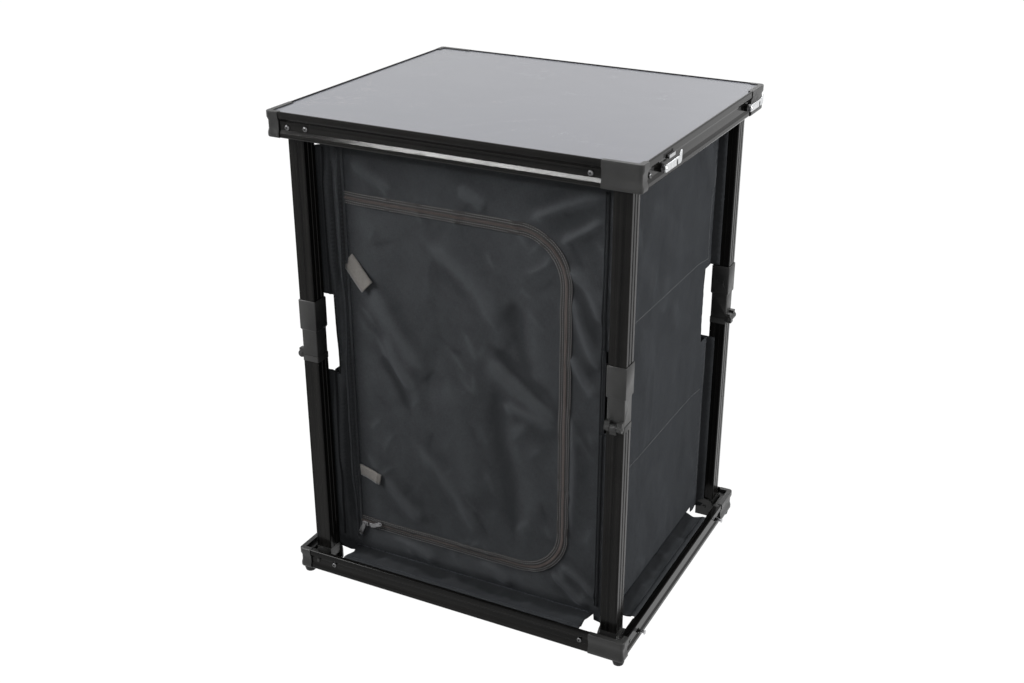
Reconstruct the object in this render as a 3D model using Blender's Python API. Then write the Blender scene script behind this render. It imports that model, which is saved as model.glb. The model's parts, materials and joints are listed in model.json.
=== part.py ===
"""Folding camp kitchen cabinet: two aluminium frames, four folding legs and a zipped fabric cupboard.

Metres, +Z up. The origin is on the floor, in the middle of the frames' plan. The front faces -Y.
The four corners are one design turned by quarters, so a corner is drawn once, at the front left:
its leg folds along +X there, and its pivots run along Y.
"""

import math

import bmesh
import bpy
from mathutils import Matrix, Vector

# Overall sizes
FRAME_WIDTH = 0.600
FRAME_DEPTH = 0.518
TABLE_HEIGHT = 0.804

# Gaps between pieces
SEAT_GAP = 0.0003
PIVOT_CLEARANCE = 0.0003
FOLDED_GAP = 0.0015
LEG_TO_RAIL = 0.002
LEG_TO_CHEEK = 0.0004

# Frames and their rails
FOOT_HEIGHT = 0.010
FOOT_RADIUS = 0.010
FOOT_INSET = 0.0125
FOOT_PEG_RADIUS = 0.003
FOOT_PEG_LENGTH = 0.0035
FOOT_TAPER_START = 0.003
FOOT_TIP_RADIUS = 0.0076
BOTTOM_FRAME_HEIGHT = 0.037
TOP_FRAME_HEIGHT = 0.040
RAIL_DEPTH = 0.020
RAIL_SETBACK = 0.001
WEB_SETBACK = 0.0038
WEB_WALL = 0.0022
LIP_HEIGHT = 0.0095
LIP_SLOPE = 0.005
LIP_WALL = 0.0030
BEAD_SETBACK = 0.0016
BEAD_HEIGHT = 0.0075
BEAD_SLOPE = 0.0053
BEAD_FLAT_LOW = 0.0022
EDGE_EASE = 0.0009
FLANGE_WALL = 0.0018
LEDGE_REACH = 0.016
WORKTOP_RECESS = 0.0015
WORKTOP_THICKNESS = 0.005

# Corner brackets
LONG_ARM = 0.060
SHORT_ARM_PAST_RAIL = 0.002
CORNER_RADIUS = 0.006
CORNER_WEB_SETBACK = 0.0022
CORNER_BEAD_SETBACK = 0.0006
CORNER_PLATE_REACH = 0.0085
CORNER_PLATE_THICKNESS = 0.0012
SHORT_SIDE_TENON = 0.059
LONG_SIDE_TENON = 0.030
TENON_CLEARANCE = 0.0004
TENON_ROOT = 0.010
CHEEK_WALL = 0.0032
BOTTOM_CHEEK_RADIUS = 0.0165
TOP_CHEEK_RADIUS = 0.0145
CORNER_TURN_STEPS = 4
TENON_SHORTFALL = 0.002
CHEEK_STEPS = 8

# Fasteners
BOLT_RADIUS = 0.0025
BOLT_HEAD_RADIUS = 0.0036
BOLT_HEAD_HEIGHT = 0.0020
BOLT_HEAD_TOP = 0.0026
BOLT_END_TOP = 0.0030
SCREW_RADIUS = 0.0018
SCREW_HEAD_RADIUS = 0.0034
SCREW_HEAD_HEIGHT = 0.0016
SCREW_HEAD_TOP = 0.0022
SCREW_LENGTH = 0.008
SHORT_SIDE_SCREW = 0.068
LONG_SIDE_SCREW = 0.076
SCREW_RISE = 0.0185

# Legs
LEG_SIDE = 0.028
LEG_WALL = 0.0014
LEG_EDGE_RADIUS = 0.0016
GROOVE_WIDTH = 0.0030
GROOVE_DEPTH = 0.0007
GROOVE_OFFSET = 0.0050
PLUG_CLEARANCE = 0.0003
PLUG_LENGTH = 0.034
PLUG_ROOT = 0.010
PLUG_LEAD = 0.002
PLUG_LEAD_TAPER = 0.004
BORE_EDGE_RADIUS = 0.0008
PLUG_ARC_STEPS = 10
TUBE_START = 0.016
TOP_PIVOT_DROP = 0.0232

# Knees
KNEE_STANDOFF = 0.004
BARREL_RADIUS = 0.006
BARREL_RELIEF = 0.0006
BARREL_SPLIT = 0.0055
NECK_STANDOFF = 0.0033
NECK_HEIGHT = 0.010
NARROW_INSET = 0.0004
COLLAR_PROUD = 0.0032
COLLAR_LOW = 0.046
COLLAR_HIGH = 0.095
COLLAR_CHAMFER = 0.0030
COLLAR_FLOOR = 0.002
COLLAR_POST = 0.028
COLLAR_TOP_EASE = 0.0015
FLANGE_PROUD = 0.001
KNUCKLE_LEAD_TAPER = 0.003
PIN_RADIUS = 0.0023
PIN_HEAD_RADIUS = 0.0036
PIN_HEAD_HEIGHT = 0.0008
RIDGE_LENGTH = 0.014
RIDGE_HEIGHT = 0.006
RIDGE_PROUD = 0.0008
RIDGE_RISE = 0.067
RIDGE_STEPS = 6

# Fabric cupboard
CLOTH = 0.0016
WALL_TO_LEG = 0.0025
FRONT_TO_LEG = 0.011
WALL_FLANGE = 0.011
FLOOR_TOP = 0.0440
FLOOR_THICKNESS = 0.003
SHELF_THICKNESS = 0.004
LOWER_SHELF_TOP = 0.277
UPPER_TIER_DROP = 0.284
NOTCH_BELOW_KNEE = 0.03705
NOTCH_ABOVE_KNEE = 0.09795
FRONT_NOTCH_DEPTH = 0.016
SIDE_NOTCH_DEPTH = 0.030
TOP_NOTCH_DROP = 0.055
BOTTOM_NOTCH_HIGH = 0.052
NOTCH_SLANT = 0.006
SIDE_TOP_NOTCH = 0.004
SKIRT_END = 0.045
SKIRT_DROP = 0.004
BULGE = 0.0035
CLOTH_CELL = 0.050
SEAM_MARGIN = 0.015
CLOTH_MARGIN = 0.01

# Door and zip
DOOR_LEFT = -0.2085
DOOR_RIGHT = 0.168
DOOR_LOW = 0.095
DOOR_DROP = 0.136
DOOR_RADIUS = 0.078
DOOR_GAP = 0.0010
TAPE_WIDTH = 0.009
TAPE_THICKNESS = 0.0008
SLIDER_LENGTH = 0.011
SLIDER_WIDTH = 0.009
SLIDER_HEIGHT = 0.0040
SLIDER_PLATE = 0.0022
SLIDER_BRIDGE_HALF = 0.0013
PULL_LENGTH = 0.024
PULL_WIDTH = 0.0075
PULL_THICKNESS = 0.0014
PULL_NECK = 0.006
PULL_ANGLE = 25.0
END_PULL_ANGLE = -115.0
END_SLIDER_FROM_SEAM = 0.007
SLIDER_PITCH = 0.0135
TIE_WIDTH = 0.020
TIE_LENGTH = 0.052
TIE_THICKNESS = 0.0012
TIE_FROM_SEAM = 0.008
TIE_ROOT = 0.002
UPPER_TIE_DROP = 0.098
LOWER_TIE_HEIGHT = 0.190
UPPER_TIE_ANGLE = -38.0
LOWER_TIE_ANGLE = -8.0

# Latches on the right rails
LATCH_ALONG = (-0.190, 0.177)
LATCH_BASE_RADIUS = 0.006
LATCH_STANDOFF = 0.0101
LATCH_PLATE = 0.0014
LATCH_PLATE_SIDE = 0.011
LATCH_STEM_RADIUS = 0.002
LATCH_STEM_DEPTH = 0.005
LATCH_RIVET_RADIUS = 0.0034
LATCH_RIVET_HEIGHT = 0.0012
HOOK_REACH = 0.040
HOOK_LENGTH = 0.058
HOOK_TAB = 0.007
TAB_START = 0.0165
TAB_LENGTH = 0.0225
TAB_PROUD = 0.0045
TAB_UNDER_TOP = 0.007
TAB_THICKNESS = 0.005
STUD_RADIUS = 0.0025
STUD_HEAD_RADIUS = 0.004
STUD_HEAD_HEIGHT = 0.0014
STUD_HEAD_TOP = 0.0032
STUD_BOSS = 0.0016

# Round shapes
FINE_SIDES = 14
SMALL_SIDES = 8
ARC_STEPS = 5

# Places worked out from the sizes above
SHORT_ARM = RAIL_DEPTH + SHORT_ARM_PAST_RAIL
NARROW_SIDE = LEG_SIDE - NARROW_INSET
COLLAR_SIDE = LEG_SIDE + COLLAR_PROUD
LEG_INSET = RAIL_DEPTH + LEG_TO_RAIL + LEG_SIDE / 2
LEG_TO_WEB = LEG_INSET - RAIL_SETBACK - WEB_SETBACK
LEG_X = FRAME_WIDTH / 2 - LEG_INSET
LEG_Y = FRAME_DEPTH / 2 - LEG_INSET
KNEE_OFFSET = LEG_SIDE / 2 + KNEE_STANDOFF
TOP_FRAME_LOW = TABLE_HEIGHT - TOP_FRAME_HEIGHT
TOP_PIVOT_RISE = TOP_FRAME_HEIGHT - TOP_PIVOT_DROP
BOTTOM_PIVOT_RISE = BOTTOM_FRAME_HEIGHT + FOLDED_GAP + TOP_PIVOT_RISE - 2 * KNEE_OFFSET
BOTTOM_PIVOT_Z = FOOT_HEIGHT + BOTTOM_PIVOT_RISE
TOP_PIVOT_Z = TABLE_HEIGHT - TOP_PIVOT_DROP
KNEE_Z = (BOTTOM_PIVOT_Z + TOP_PIVOT_Z) / 2
HALF_LEG = KNEE_Z - BOTTOM_PIVOT_Z
KNEE_NOTCH_LOW = KNEE_Z - NOTCH_BELOW_KNEE
KNEE_NOTCH_HIGH = KNEE_Z + NOTCH_ABOVE_KNEE
UPPER_SHELF_TOP = TABLE_HEIGHT - UPPER_TIER_DROP
DOOR_HIGH = TABLE_HEIGHT - DOOR_DROP
UPPER_TIE_HEIGHT = DOOR_HIGH - UPPER_TIE_DROP
FOLD_DROP = 2 * (HALF_LEG - KNEE_OFFSET)
WORKTOP_UNDER = TABLE_HEIGHT - WORKTOP_RECESS - WORKTOP_THICKNESS
BOX_X = LEG_X - LEG_SIDE / 2 - WALL_TO_LEG
BOX_BACK = LEG_Y - LEG_SIDE / 2 - WALL_TO_LEG
BOX_FRONT = -(LEG_Y - LEG_SIDE / 2 - FRONT_TO_LEG)
WALL_LOW = FLOOR_TOP - FLOOR_THICKNESS - SEAT_GAP
WALL_HIGH = WORKTOP_UNDER - SEAT_GAP
ZIP_Y = BOX_FRONT - SEAT_GAP - TAPE_THICKNESS
SLIDER_Y = ZIP_Y - SEAT_GAP - SLIDER_HEIGHT / 2
PULL_Y = ZIP_Y - 3 * SEAT_GAP - SLIDER_HEIGHT - PULL_THICKNESS / 2
END_SLIDER_X = DOOR_LEFT + END_SLIDER_FROM_SEAM
SLIDER_X = END_SLIDER_X + SLIDER_PITCH
SLIDER_Z = DOOR_LOW - SLIDER_WIDTH / 2 - SEAT_GAP
LATCH_X = FRAME_WIDTH / 2 - RAIL_SETBACK - WEB_SETBACK
LATCH_Z = TOP_FRAME_LOW + BEAD_HEIGHT + BEAD_SLOPE + LATCH_BASE_RADIUS + SEAT_GAP
STUD_Z = LATCH_Z - FOLD_DROP - HOOK_REACH
CORNERS = (("fl", -1, -1, 0), ("fr", 1, -1, 90), ("br", 1, 1, 180), ("bl", -1, 1, 270))

PARTS = None
CUTTERS = None


def clear_scene():
    """Removes the startup objects, so that only the cabinet is left."""
    for obj in list(bpy.data.objects):
        bpy.data.objects.remove(obj, do_unlink=True)


def new_collection(name):
    collection = bpy.data.collections.new(name)
    bpy.context.scene.collection.children.link(collection)
    return collection


def finish(name, colour, roughness, metallic=0.0):
    """A Principled material with one colour, roughness and metallic value."""
    material = bpy.data.materials.new(name)
    material.use_nodes = True
    shader = material.node_tree.nodes["Principled BSDF"]
    shader.inputs["Base Color"].default_value = (*colour, 1.0)
    shader.inputs["Roughness"].default_value = roughness
    shader.inputs["Metallic"].default_value = metallic
    material.diffuse_color = (*colour, 1.0)
    return material


def mesh_of(bm):
    """The bmesh as a mesh, with doubles merged and its faces turned outwards."""
    bmesh.ops.remove_doubles(bm, verts=bm.verts, dist=1e-6)
    bmesh.ops.recalc_face_normals(bm, faces=bm.faces)
    mesh = bpy.data.meshes.new("shape")
    bm.to_mesh(mesh)
    bm.free()
    return mesh


def box(low, high):
    bm = bmesh.new()
    size = Vector(high) - Vector(low)
    middle = (Vector(high) + Vector(low)) / 2
    bmesh.ops.create_cube(bm, matrix=Matrix.LocRotScale(middle, None, size))
    return mesh_of(bm)


def rod(start, end, radius, sides, end_radius=None):
    """A cylinder or cone between two points."""
    start, end = Vector(start), Vector(end)
    turn = (end - start).to_track_quat("Z", "Y")
    bm = bmesh.new()
    bmesh.ops.create_cone(
        bm,
        cap_ends=True,
        segments=sides,
        radius1=radius,
        radius2=radius if end_radius is None else end_radius,
        depth=(end - start).length,
        matrix=Matrix.LocRotScale((start + end) / 2, turn, None),
    )
    return mesh_of(bm)


def arc(centre, radius, start, end, steps):
    """Points on an arc, angles in degrees."""
    angles = [math.radians(start + (end - start) * k / steps) for k in range(steps + 1)]
    return [(centre[0] + radius * math.cos(a), centre[1] + radius * math.sin(a)) for a in angles]


def rounded_square(side, radius, steps=2):
    reach = side / 2 - radius
    points = []
    for quarter in range(4):
        start = 90 * quarter
        middle = math.radians(start + 45)
        centre = (math.copysign(reach, math.cos(middle)), math.copysign(reach, math.sin(middle)))
        points += arc(centre, radius, start, start + 90, steps)
    return points


def prism(loops, low, high, across=(1, 0, 0), up=(0, 1, 0)):
    """A flat outline, with any holes, drawn along two directions and extruded along the third."""
    curve = bpy.data.curves.new("outline", "CURVE")
    curve.dimensions = "2D"
    curve.fill_mode = "BOTH"
    curve.extrude = (high - low) / 2
    for loop in loops:
        spline = curve.splines.new("POLY")
        spline.points.add(len(loop) - 1)
        for point, (x, y) in zip(spline.points, loop):
            point.co = (x, y, 0, 1)
        spline.use_cyclic_u = True
    guide = bpy.data.objects.new("outline", curve)
    CUTTERS.objects.link(guide)
    graph = bpy.context.evaluated_depsgraph_get()
    drawn = bpy.data.meshes.new_from_object(guide.evaluated_get(graph))
    bpy.data.objects.remove(guide)
    along = Vector(across).cross(Vector(up))
    axes = Matrix((across, up, along)).transposed().to_4x4()
    bm = bmesh.new()
    bm.from_mesh(drawn)
    bmesh.ops.translate(bm, verts=bm.verts, vec=(0, 0, (low + high) / 2))
    bmesh.ops.transform(bm, verts=bm.verts, matrix=axes)
    return mesh_of(bm)


def tower(sections, radius):
    """A square column through (height, side) sections with rounded edges."""
    bm = bmesh.new()
    rings = []
    for height, side in sections:
        rings.append([bm.verts.new((x, y, height)) for x, y in rounded_square(side, radius)])
    for lower, upper in zip(rings, rings[1:]):
        for k, start in enumerate(lower):
            after = (k + 1) % len(lower)
            bm.faces.new((start, lower[after], upper[after], upper[k]))
    bm.faces.new(rings[0][::-1])
    bm.faces.new(rings[-1])
    return mesh_of(bm)


def moved(mesh, shift=(0, 0, 0), turn=None):
    """A copy of the mesh, turned and then shifted."""
    copy = mesh.copy()
    copy.transform(Matrix.LocRotScale(Vector(shift), turn, None))
    return copy


def group(meshes):
    """Separate bodies in one mesh."""
    bm = bmesh.new()
    for mesh in meshes:
        bm.from_mesh(mesh)
    together = bpy.data.meshes.new("group")
    bm.to_mesh(together)
    bm.free()
    return together


def combined(operation, first, *others):
    """The exact Boolean of closed meshes, one after another."""
    result = first
    for other in others:
        kept = bpy.data.objects.new("kept", result)
        tool = bpy.data.objects.new("tool", other)
        CUTTERS.objects.link(kept)
        CUTTERS.objects.link(tool)
        modifier = kept.modifiers.new("boolean", "BOOLEAN")
        modifier.operation = operation
        modifier.solver = "EXACT"
        modifier.object = tool
        graph = bpy.context.evaluated_depsgraph_get()
        result = bpy.data.meshes.new_from_object(kept.evaluated_get(graph))
        bpy.data.objects.remove(kept)
        bpy.data.objects.remove(tool)
    return result


def anchor(name, place, carrier=None):
    """An empty on a joint's axis."""
    empty = bpy.data.objects.new(name, None)
    empty.empty_display_size = 0.03
    PARTS.objects.link(empty)
    empty["place"] = place
    empty.location = Vector(place)
    if carrier:
        empty.parent = carrier
        empty.location -= Vector(carrier["place"])
    return empty


def part(name, mesh, material, carrier, place=(0, 0, 0), turn=0.0, smooth=30.0):
    """One named piece, carried by an anchor. Its place is in the world."""
    mesh.name = name
    mesh.materials.clear()
    mesh.materials.append(material)
    mesh.shade_smooth()
    mesh.set_sharp_from_angle(angle=math.radians(smooth))
    obj = bpy.data.objects.new(name, mesh)
    PARTS.objects.link(obj)
    obj.parent = carrier
    obj.location = Vector(place) - Vector(carrier["place"])
    obj.rotation_euler.z = math.radians(turn)
    return obj


def drill(obj, cutter):
    """Leaves a live cut in the piece."""
    modifier = obj.modifiers.new("drill", "BOOLEAN")
    modifier.operation = "DIFFERENCE"
    modifier.solver = "EXACT"
    modifier.object = cutter


def cutter(name, mesh, place=(0, 0, 0), turn=0.0):
    obj = bpy.data.objects.new(name, mesh)
    CUTTERS.objects.link(obj)
    obj.location = place
    obj.rotation_euler.z = math.radians(turn)
    obj.hide_render = True
    obj.display_type = "WIRE"
    return obj


def quarter_turn(degrees):
    return Matrix.Rotation(math.radians(degrees), 3, "Z").to_quaternion()


def leg_place(x_side, y_side, height):
    return (x_side * LEG_X, y_side * LEG_Y, height)


def turned(vector, degrees):
    """A vector of the front left corner, as the same vector at a corner turned by quarters."""
    return Matrix.Rotation(math.radians(degrees), 3, "Z") @ Vector(vector)


def outer_face(height, setback, web, bead):
    """The outer side of a frame from top to bottom, as (distance in from the corner, height)."""
    return [
        (setback + EDGE_EASE, height),
        (setback, height - EDGE_EASE),
        (setback, height - LIP_HEIGHT),
        (web, height - LIP_HEIGHT - LIP_SLOPE),
        (web, BEAD_HEIGHT + BEAD_SLOPE),
        (bead, BEAD_HEIGHT),
        (bead, BEAD_FLAT_LOW),
        (bead + EDGE_EASE, 0.0006),
        (bead + BEAD_FLAT_LOW, 0.0),
    ]


def inner_face(height):
    """The inner side of a frame from the bottom flange up to the lip, with the ledge for a board."""
    wall = RAIL_SETBACK + WEB_SETBACK + WEB_WALL
    ledge_top = height - WORKTOP_RECESS - WORKTOP_THICKNESS - SEAT_GAP
    ledge_under = ledge_top - FLANGE_WALL
    rebate = RAIL_SETBACK + LIP_WALL
    return [
        (RAIL_DEPTH, 0.0),
        (RAIL_DEPTH, FLANGE_WALL),
        (wall, FLANGE_WALL),
        (wall, ledge_under),
        (LEDGE_REACH, ledge_under),
        (LEDGE_REACH, ledge_top),
        (rebate, ledge_top),
    ]


def rail_outline(height):
    """The extrusion's section: proud lip, web, lower bead, flange and ledge."""
    web = RAIL_SETBACK + WEB_SETBACK
    bead = RAIL_SETBACK + BEAD_SETBACK
    lip_inside = (RAIL_SETBACK + LIP_WALL, height)
    return outer_face(height, RAIL_SETBACK, web, bead) + inner_face(height) + [lip_inside]


def corner_outline(height):
    """The bracket's section: the rail's, a little prouder, with a plate over the top edge."""
    plate_under = height - CORNER_PLATE_THICKNESS
    plate = [
        (RAIL_SETBACK + LIP_WALL, plate_under),
        (CORNER_PLATE_REACH, plate_under),
        (CORNER_PLATE_REACH, height),
    ]
    return outer_face(height, 0.0, CORNER_WEB_SETBACK, CORNER_BEAD_SETBACK) + inner_face(height) + plate


def rail(height, length):
    """A rail from x = 0 along +X, its outer face towards -Y."""
    return prism([rail_outline(height)], 0, length, across=(0, 1, 0), up=(0, 0, 1))


def rails(frame_low, height, carrier, prefix, material, holes, fittings):
    """Four rails, each between one corner's short arm and the next one's long arm, with what is riveted on."""
    for side, (_, x_side, y_side, turn) in zip(("front", "right", "back", "left"), CORNERS):
        span = FRAME_WIDTH if side in ("front", "back") else FRAME_DEPTH
        length = span - SHORT_ARM - LONG_ARM - 2 * SEAT_GAP
        outer = Vector((x_side * FRAME_WIDTH / 2, y_side * FRAME_DEPTH / 2, frame_low))
        start = outer + turned((SHORT_ARM + SEAT_GAP, 0, 0), turn)
        bar = rail(height, length)
        if side in fittings:
            bar = moved(bar, start, quarter_turn(turn))
            bar = combined("UNION", bar, *fittings[side])
            obj = part(f"{prefix}_rail_{side}", bar, material, carrier)
        else:
            obj = part(f"{prefix}_rail_{side}", bar, material, carrier, start, turn)
        drill(obj, holes)


def corner_shell(height):
    """The bracket's skin, swept round the rounded corner. The corner is at (0, 0), the arms run +X and +Y."""
    outline = corner_outline(height)
    bm = bmesh.new()
    stations = [(SHORT_ARM, None)]
    stations += [(None, 90 * k / CORNER_TURN_STEPS) for k in range(CORNER_TURN_STEPS + 1)]
    stations += [(None, None)]
    rings = []
    for number, (run, angle) in enumerate(stations):
        ring = []
        for inset, z in outline:
            if number == 0:
                point = (run, inset, z)
            elif angle is None:
                point = (inset, LONG_ARM, z)
            elif inset >= CORNER_RADIUS:
                point = (inset, inset, z)
            else:
                reach = CORNER_RADIUS - inset
                turn = math.radians(angle)
                x = CORNER_RADIUS - reach * math.sin(turn)
                y = CORNER_RADIUS - reach * math.cos(turn)
                point = (x, y, z)
            ring.append(bm.verts.new(point))
        rings.append(ring)
    for first, second in zip(rings, rings[1:]):
        for k in range(len(outline)):
            after = (k + 1) % len(outline)
            bm.faces.new((first[k], first[after], second[after], second[k]))
    bm.faces.new(rings[0])
    bm.faces.new(rings[-1])
    bmesh.ops.remove_doubles(bm, verts=bm.verts, dist=1e-6)
    bmesh.ops.dissolve_degenerate(bm, dist=1e-7, edges=bm.edges)
    return mesh_of(bm)


def tenon(height, length):
    """The block that plugs into a rail, along +X from the end of an arm, with its root inside the arm."""
    wall = RAIL_SETBACK + WEB_SETBACK + WEB_WALL
    under = height - WORKTOP_RECESS - WORKTOP_THICKNESS - SEAT_GAP - FLANGE_WALL
    low = FLANGE_WALL + TENON_CLEARANCE
    high = under - TENON_CLEARANCE
    near = wall + TENON_CLEARANCE
    far = RAIL_DEPTH - TENON_SHORTFALL
    root_near = CORNER_WEB_SETBACK + TENON_SHORTFALL
    root = box((-TENON_ROOT, root_near, 0.001), (-SEAT_GAP, far, under + 0.001))
    plug = box((-TENON_ROOT / 2, near, low), (length, far, high))
    return combined("UNION", root, plug)


def clevis(height, pivot_rise, radius, upright):
    """Two cheeks and a bridge round the leg's pivot, which is at x = 0, y = 0."""
    outer_low = -(LEG_INSET - RAIL_DEPTH + 0.0025)
    outer_high = -(LEG_SIDE / 2 + LEG_TO_CHEEK)
    inner_low = LEG_SIDE / 2 + LEG_TO_CHEEK
    inner_high = inner_low + CHEEK_WALL
    floor = FLANGE_WALL + SEAT_GAP
    ceiling = height - WORKTOP_RECESS - WORKTOP_THICKNESS - SEAT_GAP
    if upright:
        outline = [(-radius, floor), (radius, floor)]
        outline += arc((0, pivot_rise), radius, 0, 180, CHEEK_STEPS)
        bridge_low, bridge_high = floor, pivot_rise - LEG_SIDE / 2 - SEAT_GAP / 2
    else:
        outline = [(radius, ceiling), (-radius, ceiling)]
        outline += arc((0, pivot_rise), radius, 180, 360, CHEEK_STEPS)
        bridge_low, bridge_high = pivot_rise + LEG_SIDE / 2 + SEAT_GAP / 2, ceiling
    outer = prism([outline], -outer_high, -outer_low, across=(1, 0, 0), up=(0, 0, 1))
    inner = prism([outline], -inner_high, -inner_low, across=(1, 0, 0), up=(0, 0, 1))
    half = radius - LEG_TO_CHEEK
    bridge = box((-half, outer_low + 0.001, bridge_low), (half, inner_high - 0.001, bridge_high))
    return combined("UNION", outer, bridge, inner)


def corner_bracket(height, pivot_rise, radius, upright, screws):
    """The whole moulded corner, with its leg's centre at x = 0, y = 0 and its underside at z = 0."""
    shell = moved(corner_shell(height), (-LEG_INSET, -LEG_INSET, 0))
    short_plug = moved(tenon(height, SHORT_SIDE_TENON), (SHORT_ARM - LEG_INSET, -LEG_INSET, 0))
    mirror = Matrix(((0, 1, 0), (1, 0, 0), (0, 0, 1))).to_4x4()
    long_plug = tenon(height, LONG_SIDE_TENON)
    long_plug.transform(mirror)
    long_plug.flip_normals()
    long_plug = moved(long_plug, (-LEG_INSET, LONG_ARM - LEG_INSET, 0))
    fork = clevis(height, pivot_rise, radius, upright)
    return combined("UNION", shell, short_plug, long_plug, fork, *fasteners(pivot_rise, screws))


def frame_screws(corner):
    """(X, Y, outward) of a corner's screws, drawn as at the front left. On the right a latch replaces one."""
    short = (SHORT_SIDE_SCREW - LEG_INSET, -LEG_TO_WEB, (0, -1, 0))
    long = (-LEG_TO_WEB, LONG_SIDE_SCREW - LEG_INSET, (-1, 0, 0))
    return {"fr": (long,), "br": (short,)}.get(corner, (short, long))


def fasteners(pivot_rise, screws):
    """The pivot bolt and the screws that hold one bracket in its rails."""
    outer = -LEG_TO_WEB - SEAT_GAP / 2
    inner = LEG_SIDE / 2 + LEG_TO_CHEEK + CHEEK_WALL + SEAT_GAP
    middle = Vector((0, 0, pivot_rise))
    along = Vector((0, 1, 0))
    head_start = middle + along * (outer - BOLT_HEAD_HEIGHT)
    end_stop = middle + along * (inner + BOLT_HEAD_HEIGHT)
    head = rod(head_start, middle + along * outer, BOLT_HEAD_TOP, FINE_SIDES, BOLT_HEAD_RADIUS)
    shank_start = middle + along * (outer - 0.0005)
    shank = rod(shank_start, middle + along * (inner + 0.0005), BOLT_RADIUS, FINE_SIDES)
    end = rod(middle + along * inner, end_stop, BOLT_HEAD_RADIUS, FINE_SIDES, BOLT_END_TOP)
    bolt = combined("UNION", shank, head, end)
    solids = [bolt]
    for x, y, outward in screws:
        face = Vector((x, y, SCREW_RISE))
        out = Vector(outward)
        seat = face + out * SEAT_GAP / 2
        top = seat + out * SCREW_HEAD_HEIGHT
        head = rod(seat, top, SCREW_HEAD_RADIUS, SMALL_SIDES, SCREW_HEAD_TOP)
        stem = rod(seat + out * 0.0004, seat - out * SCREW_LENGTH, SCREW_RADIUS, SMALL_SIDES)
        solids.append(combined("UNION", head, stem))
    return solids


def corner_drills(pivot_rise, screws):
    """Holes for one corner's bolt and screws."""
    radius = BOLT_RADIUS + PIVOT_CLEARANCE
    holes = [rod((0, -LEG_INSET, pivot_rise), (0, LEG_INSET, pivot_rise), radius, FINE_SIDES)]
    for x, y, outward in screws:
        face = Vector((x, y, SCREW_RISE))
        out = Vector(outward) * 0.003
        deep = Vector(outward) * (SCREW_LENGTH + 0.001)
        holes.append(rod(face + out, face - deep, SCREW_RADIUS + PIVOT_CLEARANCE, SMALL_SIDES))
    return holes


def build_frame(prefix, frame_low, height, pivot_rise, radius, upright, carrier, finishes, fittings):
    """Rails and corner brackets of one frame. Returns the cutter with its holes."""
    drills = []
    for name, x_side, y_side, turn in CORNERS:
        place = leg_place(x_side, y_side, frame_low)
        screws = frame_screws(name)
        bracket = corner_bracket(height, pivot_rise, radius, upright, screws)
        part(f"{prefix}_corner_{name}", bracket, finishes["plastic"], carrier, place, turn)
        drills += [moved(hole, place, quarter_turn(turn)) for hole in corner_drills(pivot_rise, screws)]
    holes = cutter(f"{prefix}_holes", group(drills))
    rails(frame_low, height, carrier, prefix, finishes["rail"], holes, fittings)
    return holes


def latch_studs():
    """Headed studs on the right bottom rail, which the hooks catch when the frames are folded."""
    face = LATCH_X
    head = LATCH_X + LATCH_STANDOFF + LATCH_PLATE + 2 * SEAT_GAP
    studs = []
    for y in LATCH_ALONG:
        stem = rod((face, y, STUD_Z), (head + 0.0005, y, STUD_Z), STUD_RADIUS, FINE_SIDES)
        cap_end = (head + STUD_HEAD_HEIGHT, y, STUD_Z)
        cap = rod((head, y, STUD_Z), cap_end, STUD_HEAD_RADIUS, FINE_SIDES, STUD_HEAD_TOP)
        boss_radius = STUD_RADIUS + STUD_BOSS
        boss = rod((face - 0.001, y, STUD_Z), (face + 0.003, y, STUD_Z), boss_radius, FINE_SIDES)
        studs.append(combined("UNION", stem, cap, boss))
    return studs


def foot():
    """A tapered rubber foot with the peg that holds it in the bracket."""
    bm = bmesh.new()
    profile = [
        (FOOT_PEG_RADIUS, FOOT_PEG_LENGTH),
        (FOOT_PEG_RADIUS, -SEAT_GAP),
        (FOOT_RADIUS, -SEAT_GAP),
        (FOOT_RADIUS, -FOOT_TAPER_START),
        (FOOT_TIP_RADIUS + EDGE_EASE, EDGE_EASE - FOOT_HEIGHT),
        (FOOT_TIP_RADIUS, -FOOT_HEIGHT),
    ]
    top = bm.verts.new((0, 0, FOOT_PEG_LENGTH))
    tip = bm.verts.new((0, 0, -FOOT_HEIGHT))
    chain = [top] + [bm.verts.new((x, 0, z)) for x, z in profile] + [tip]
    edges = [bm.edges.new(pair) for pair in zip(chain, chain[1:])]
    bmesh.ops.spin(
        bm,
        geom=chain + edges,
        axis=(0, 0, 1),
        cent=(0, 0, 0),
        steps=FINE_SIDES,
        angle=math.tau,
        use_merge=True,
    )
    return mesh_of(bm)


def feet(carrier, material):
    """Four feet, each with its peg in a hole of its corner bracket."""
    shift = Vector((FOOT_INSET - LEG_INSET, FOOT_INSET - LEG_INSET, 0))
    shape = foot()
    hole = rod((0, 0, -0.002), (0, 0, 0.006), FOOT_PEG_RADIUS + PIVOT_CLEARANCE, FINE_SIDES)
    for name, x_side, y_side, turn in CORNERS:
        place = Vector(leg_place(x_side, y_side, FOOT_HEIGHT)) + turned(shift, turn)
        part(f"foot_{name}", shape.copy(), material, carrier, place)
        peg_hole = cutter(f"peg_hole_{name}", hole.copy(), place)
        drill(bpy.data.objects[f"bottom_corner_{name}"], peg_hole)


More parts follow.
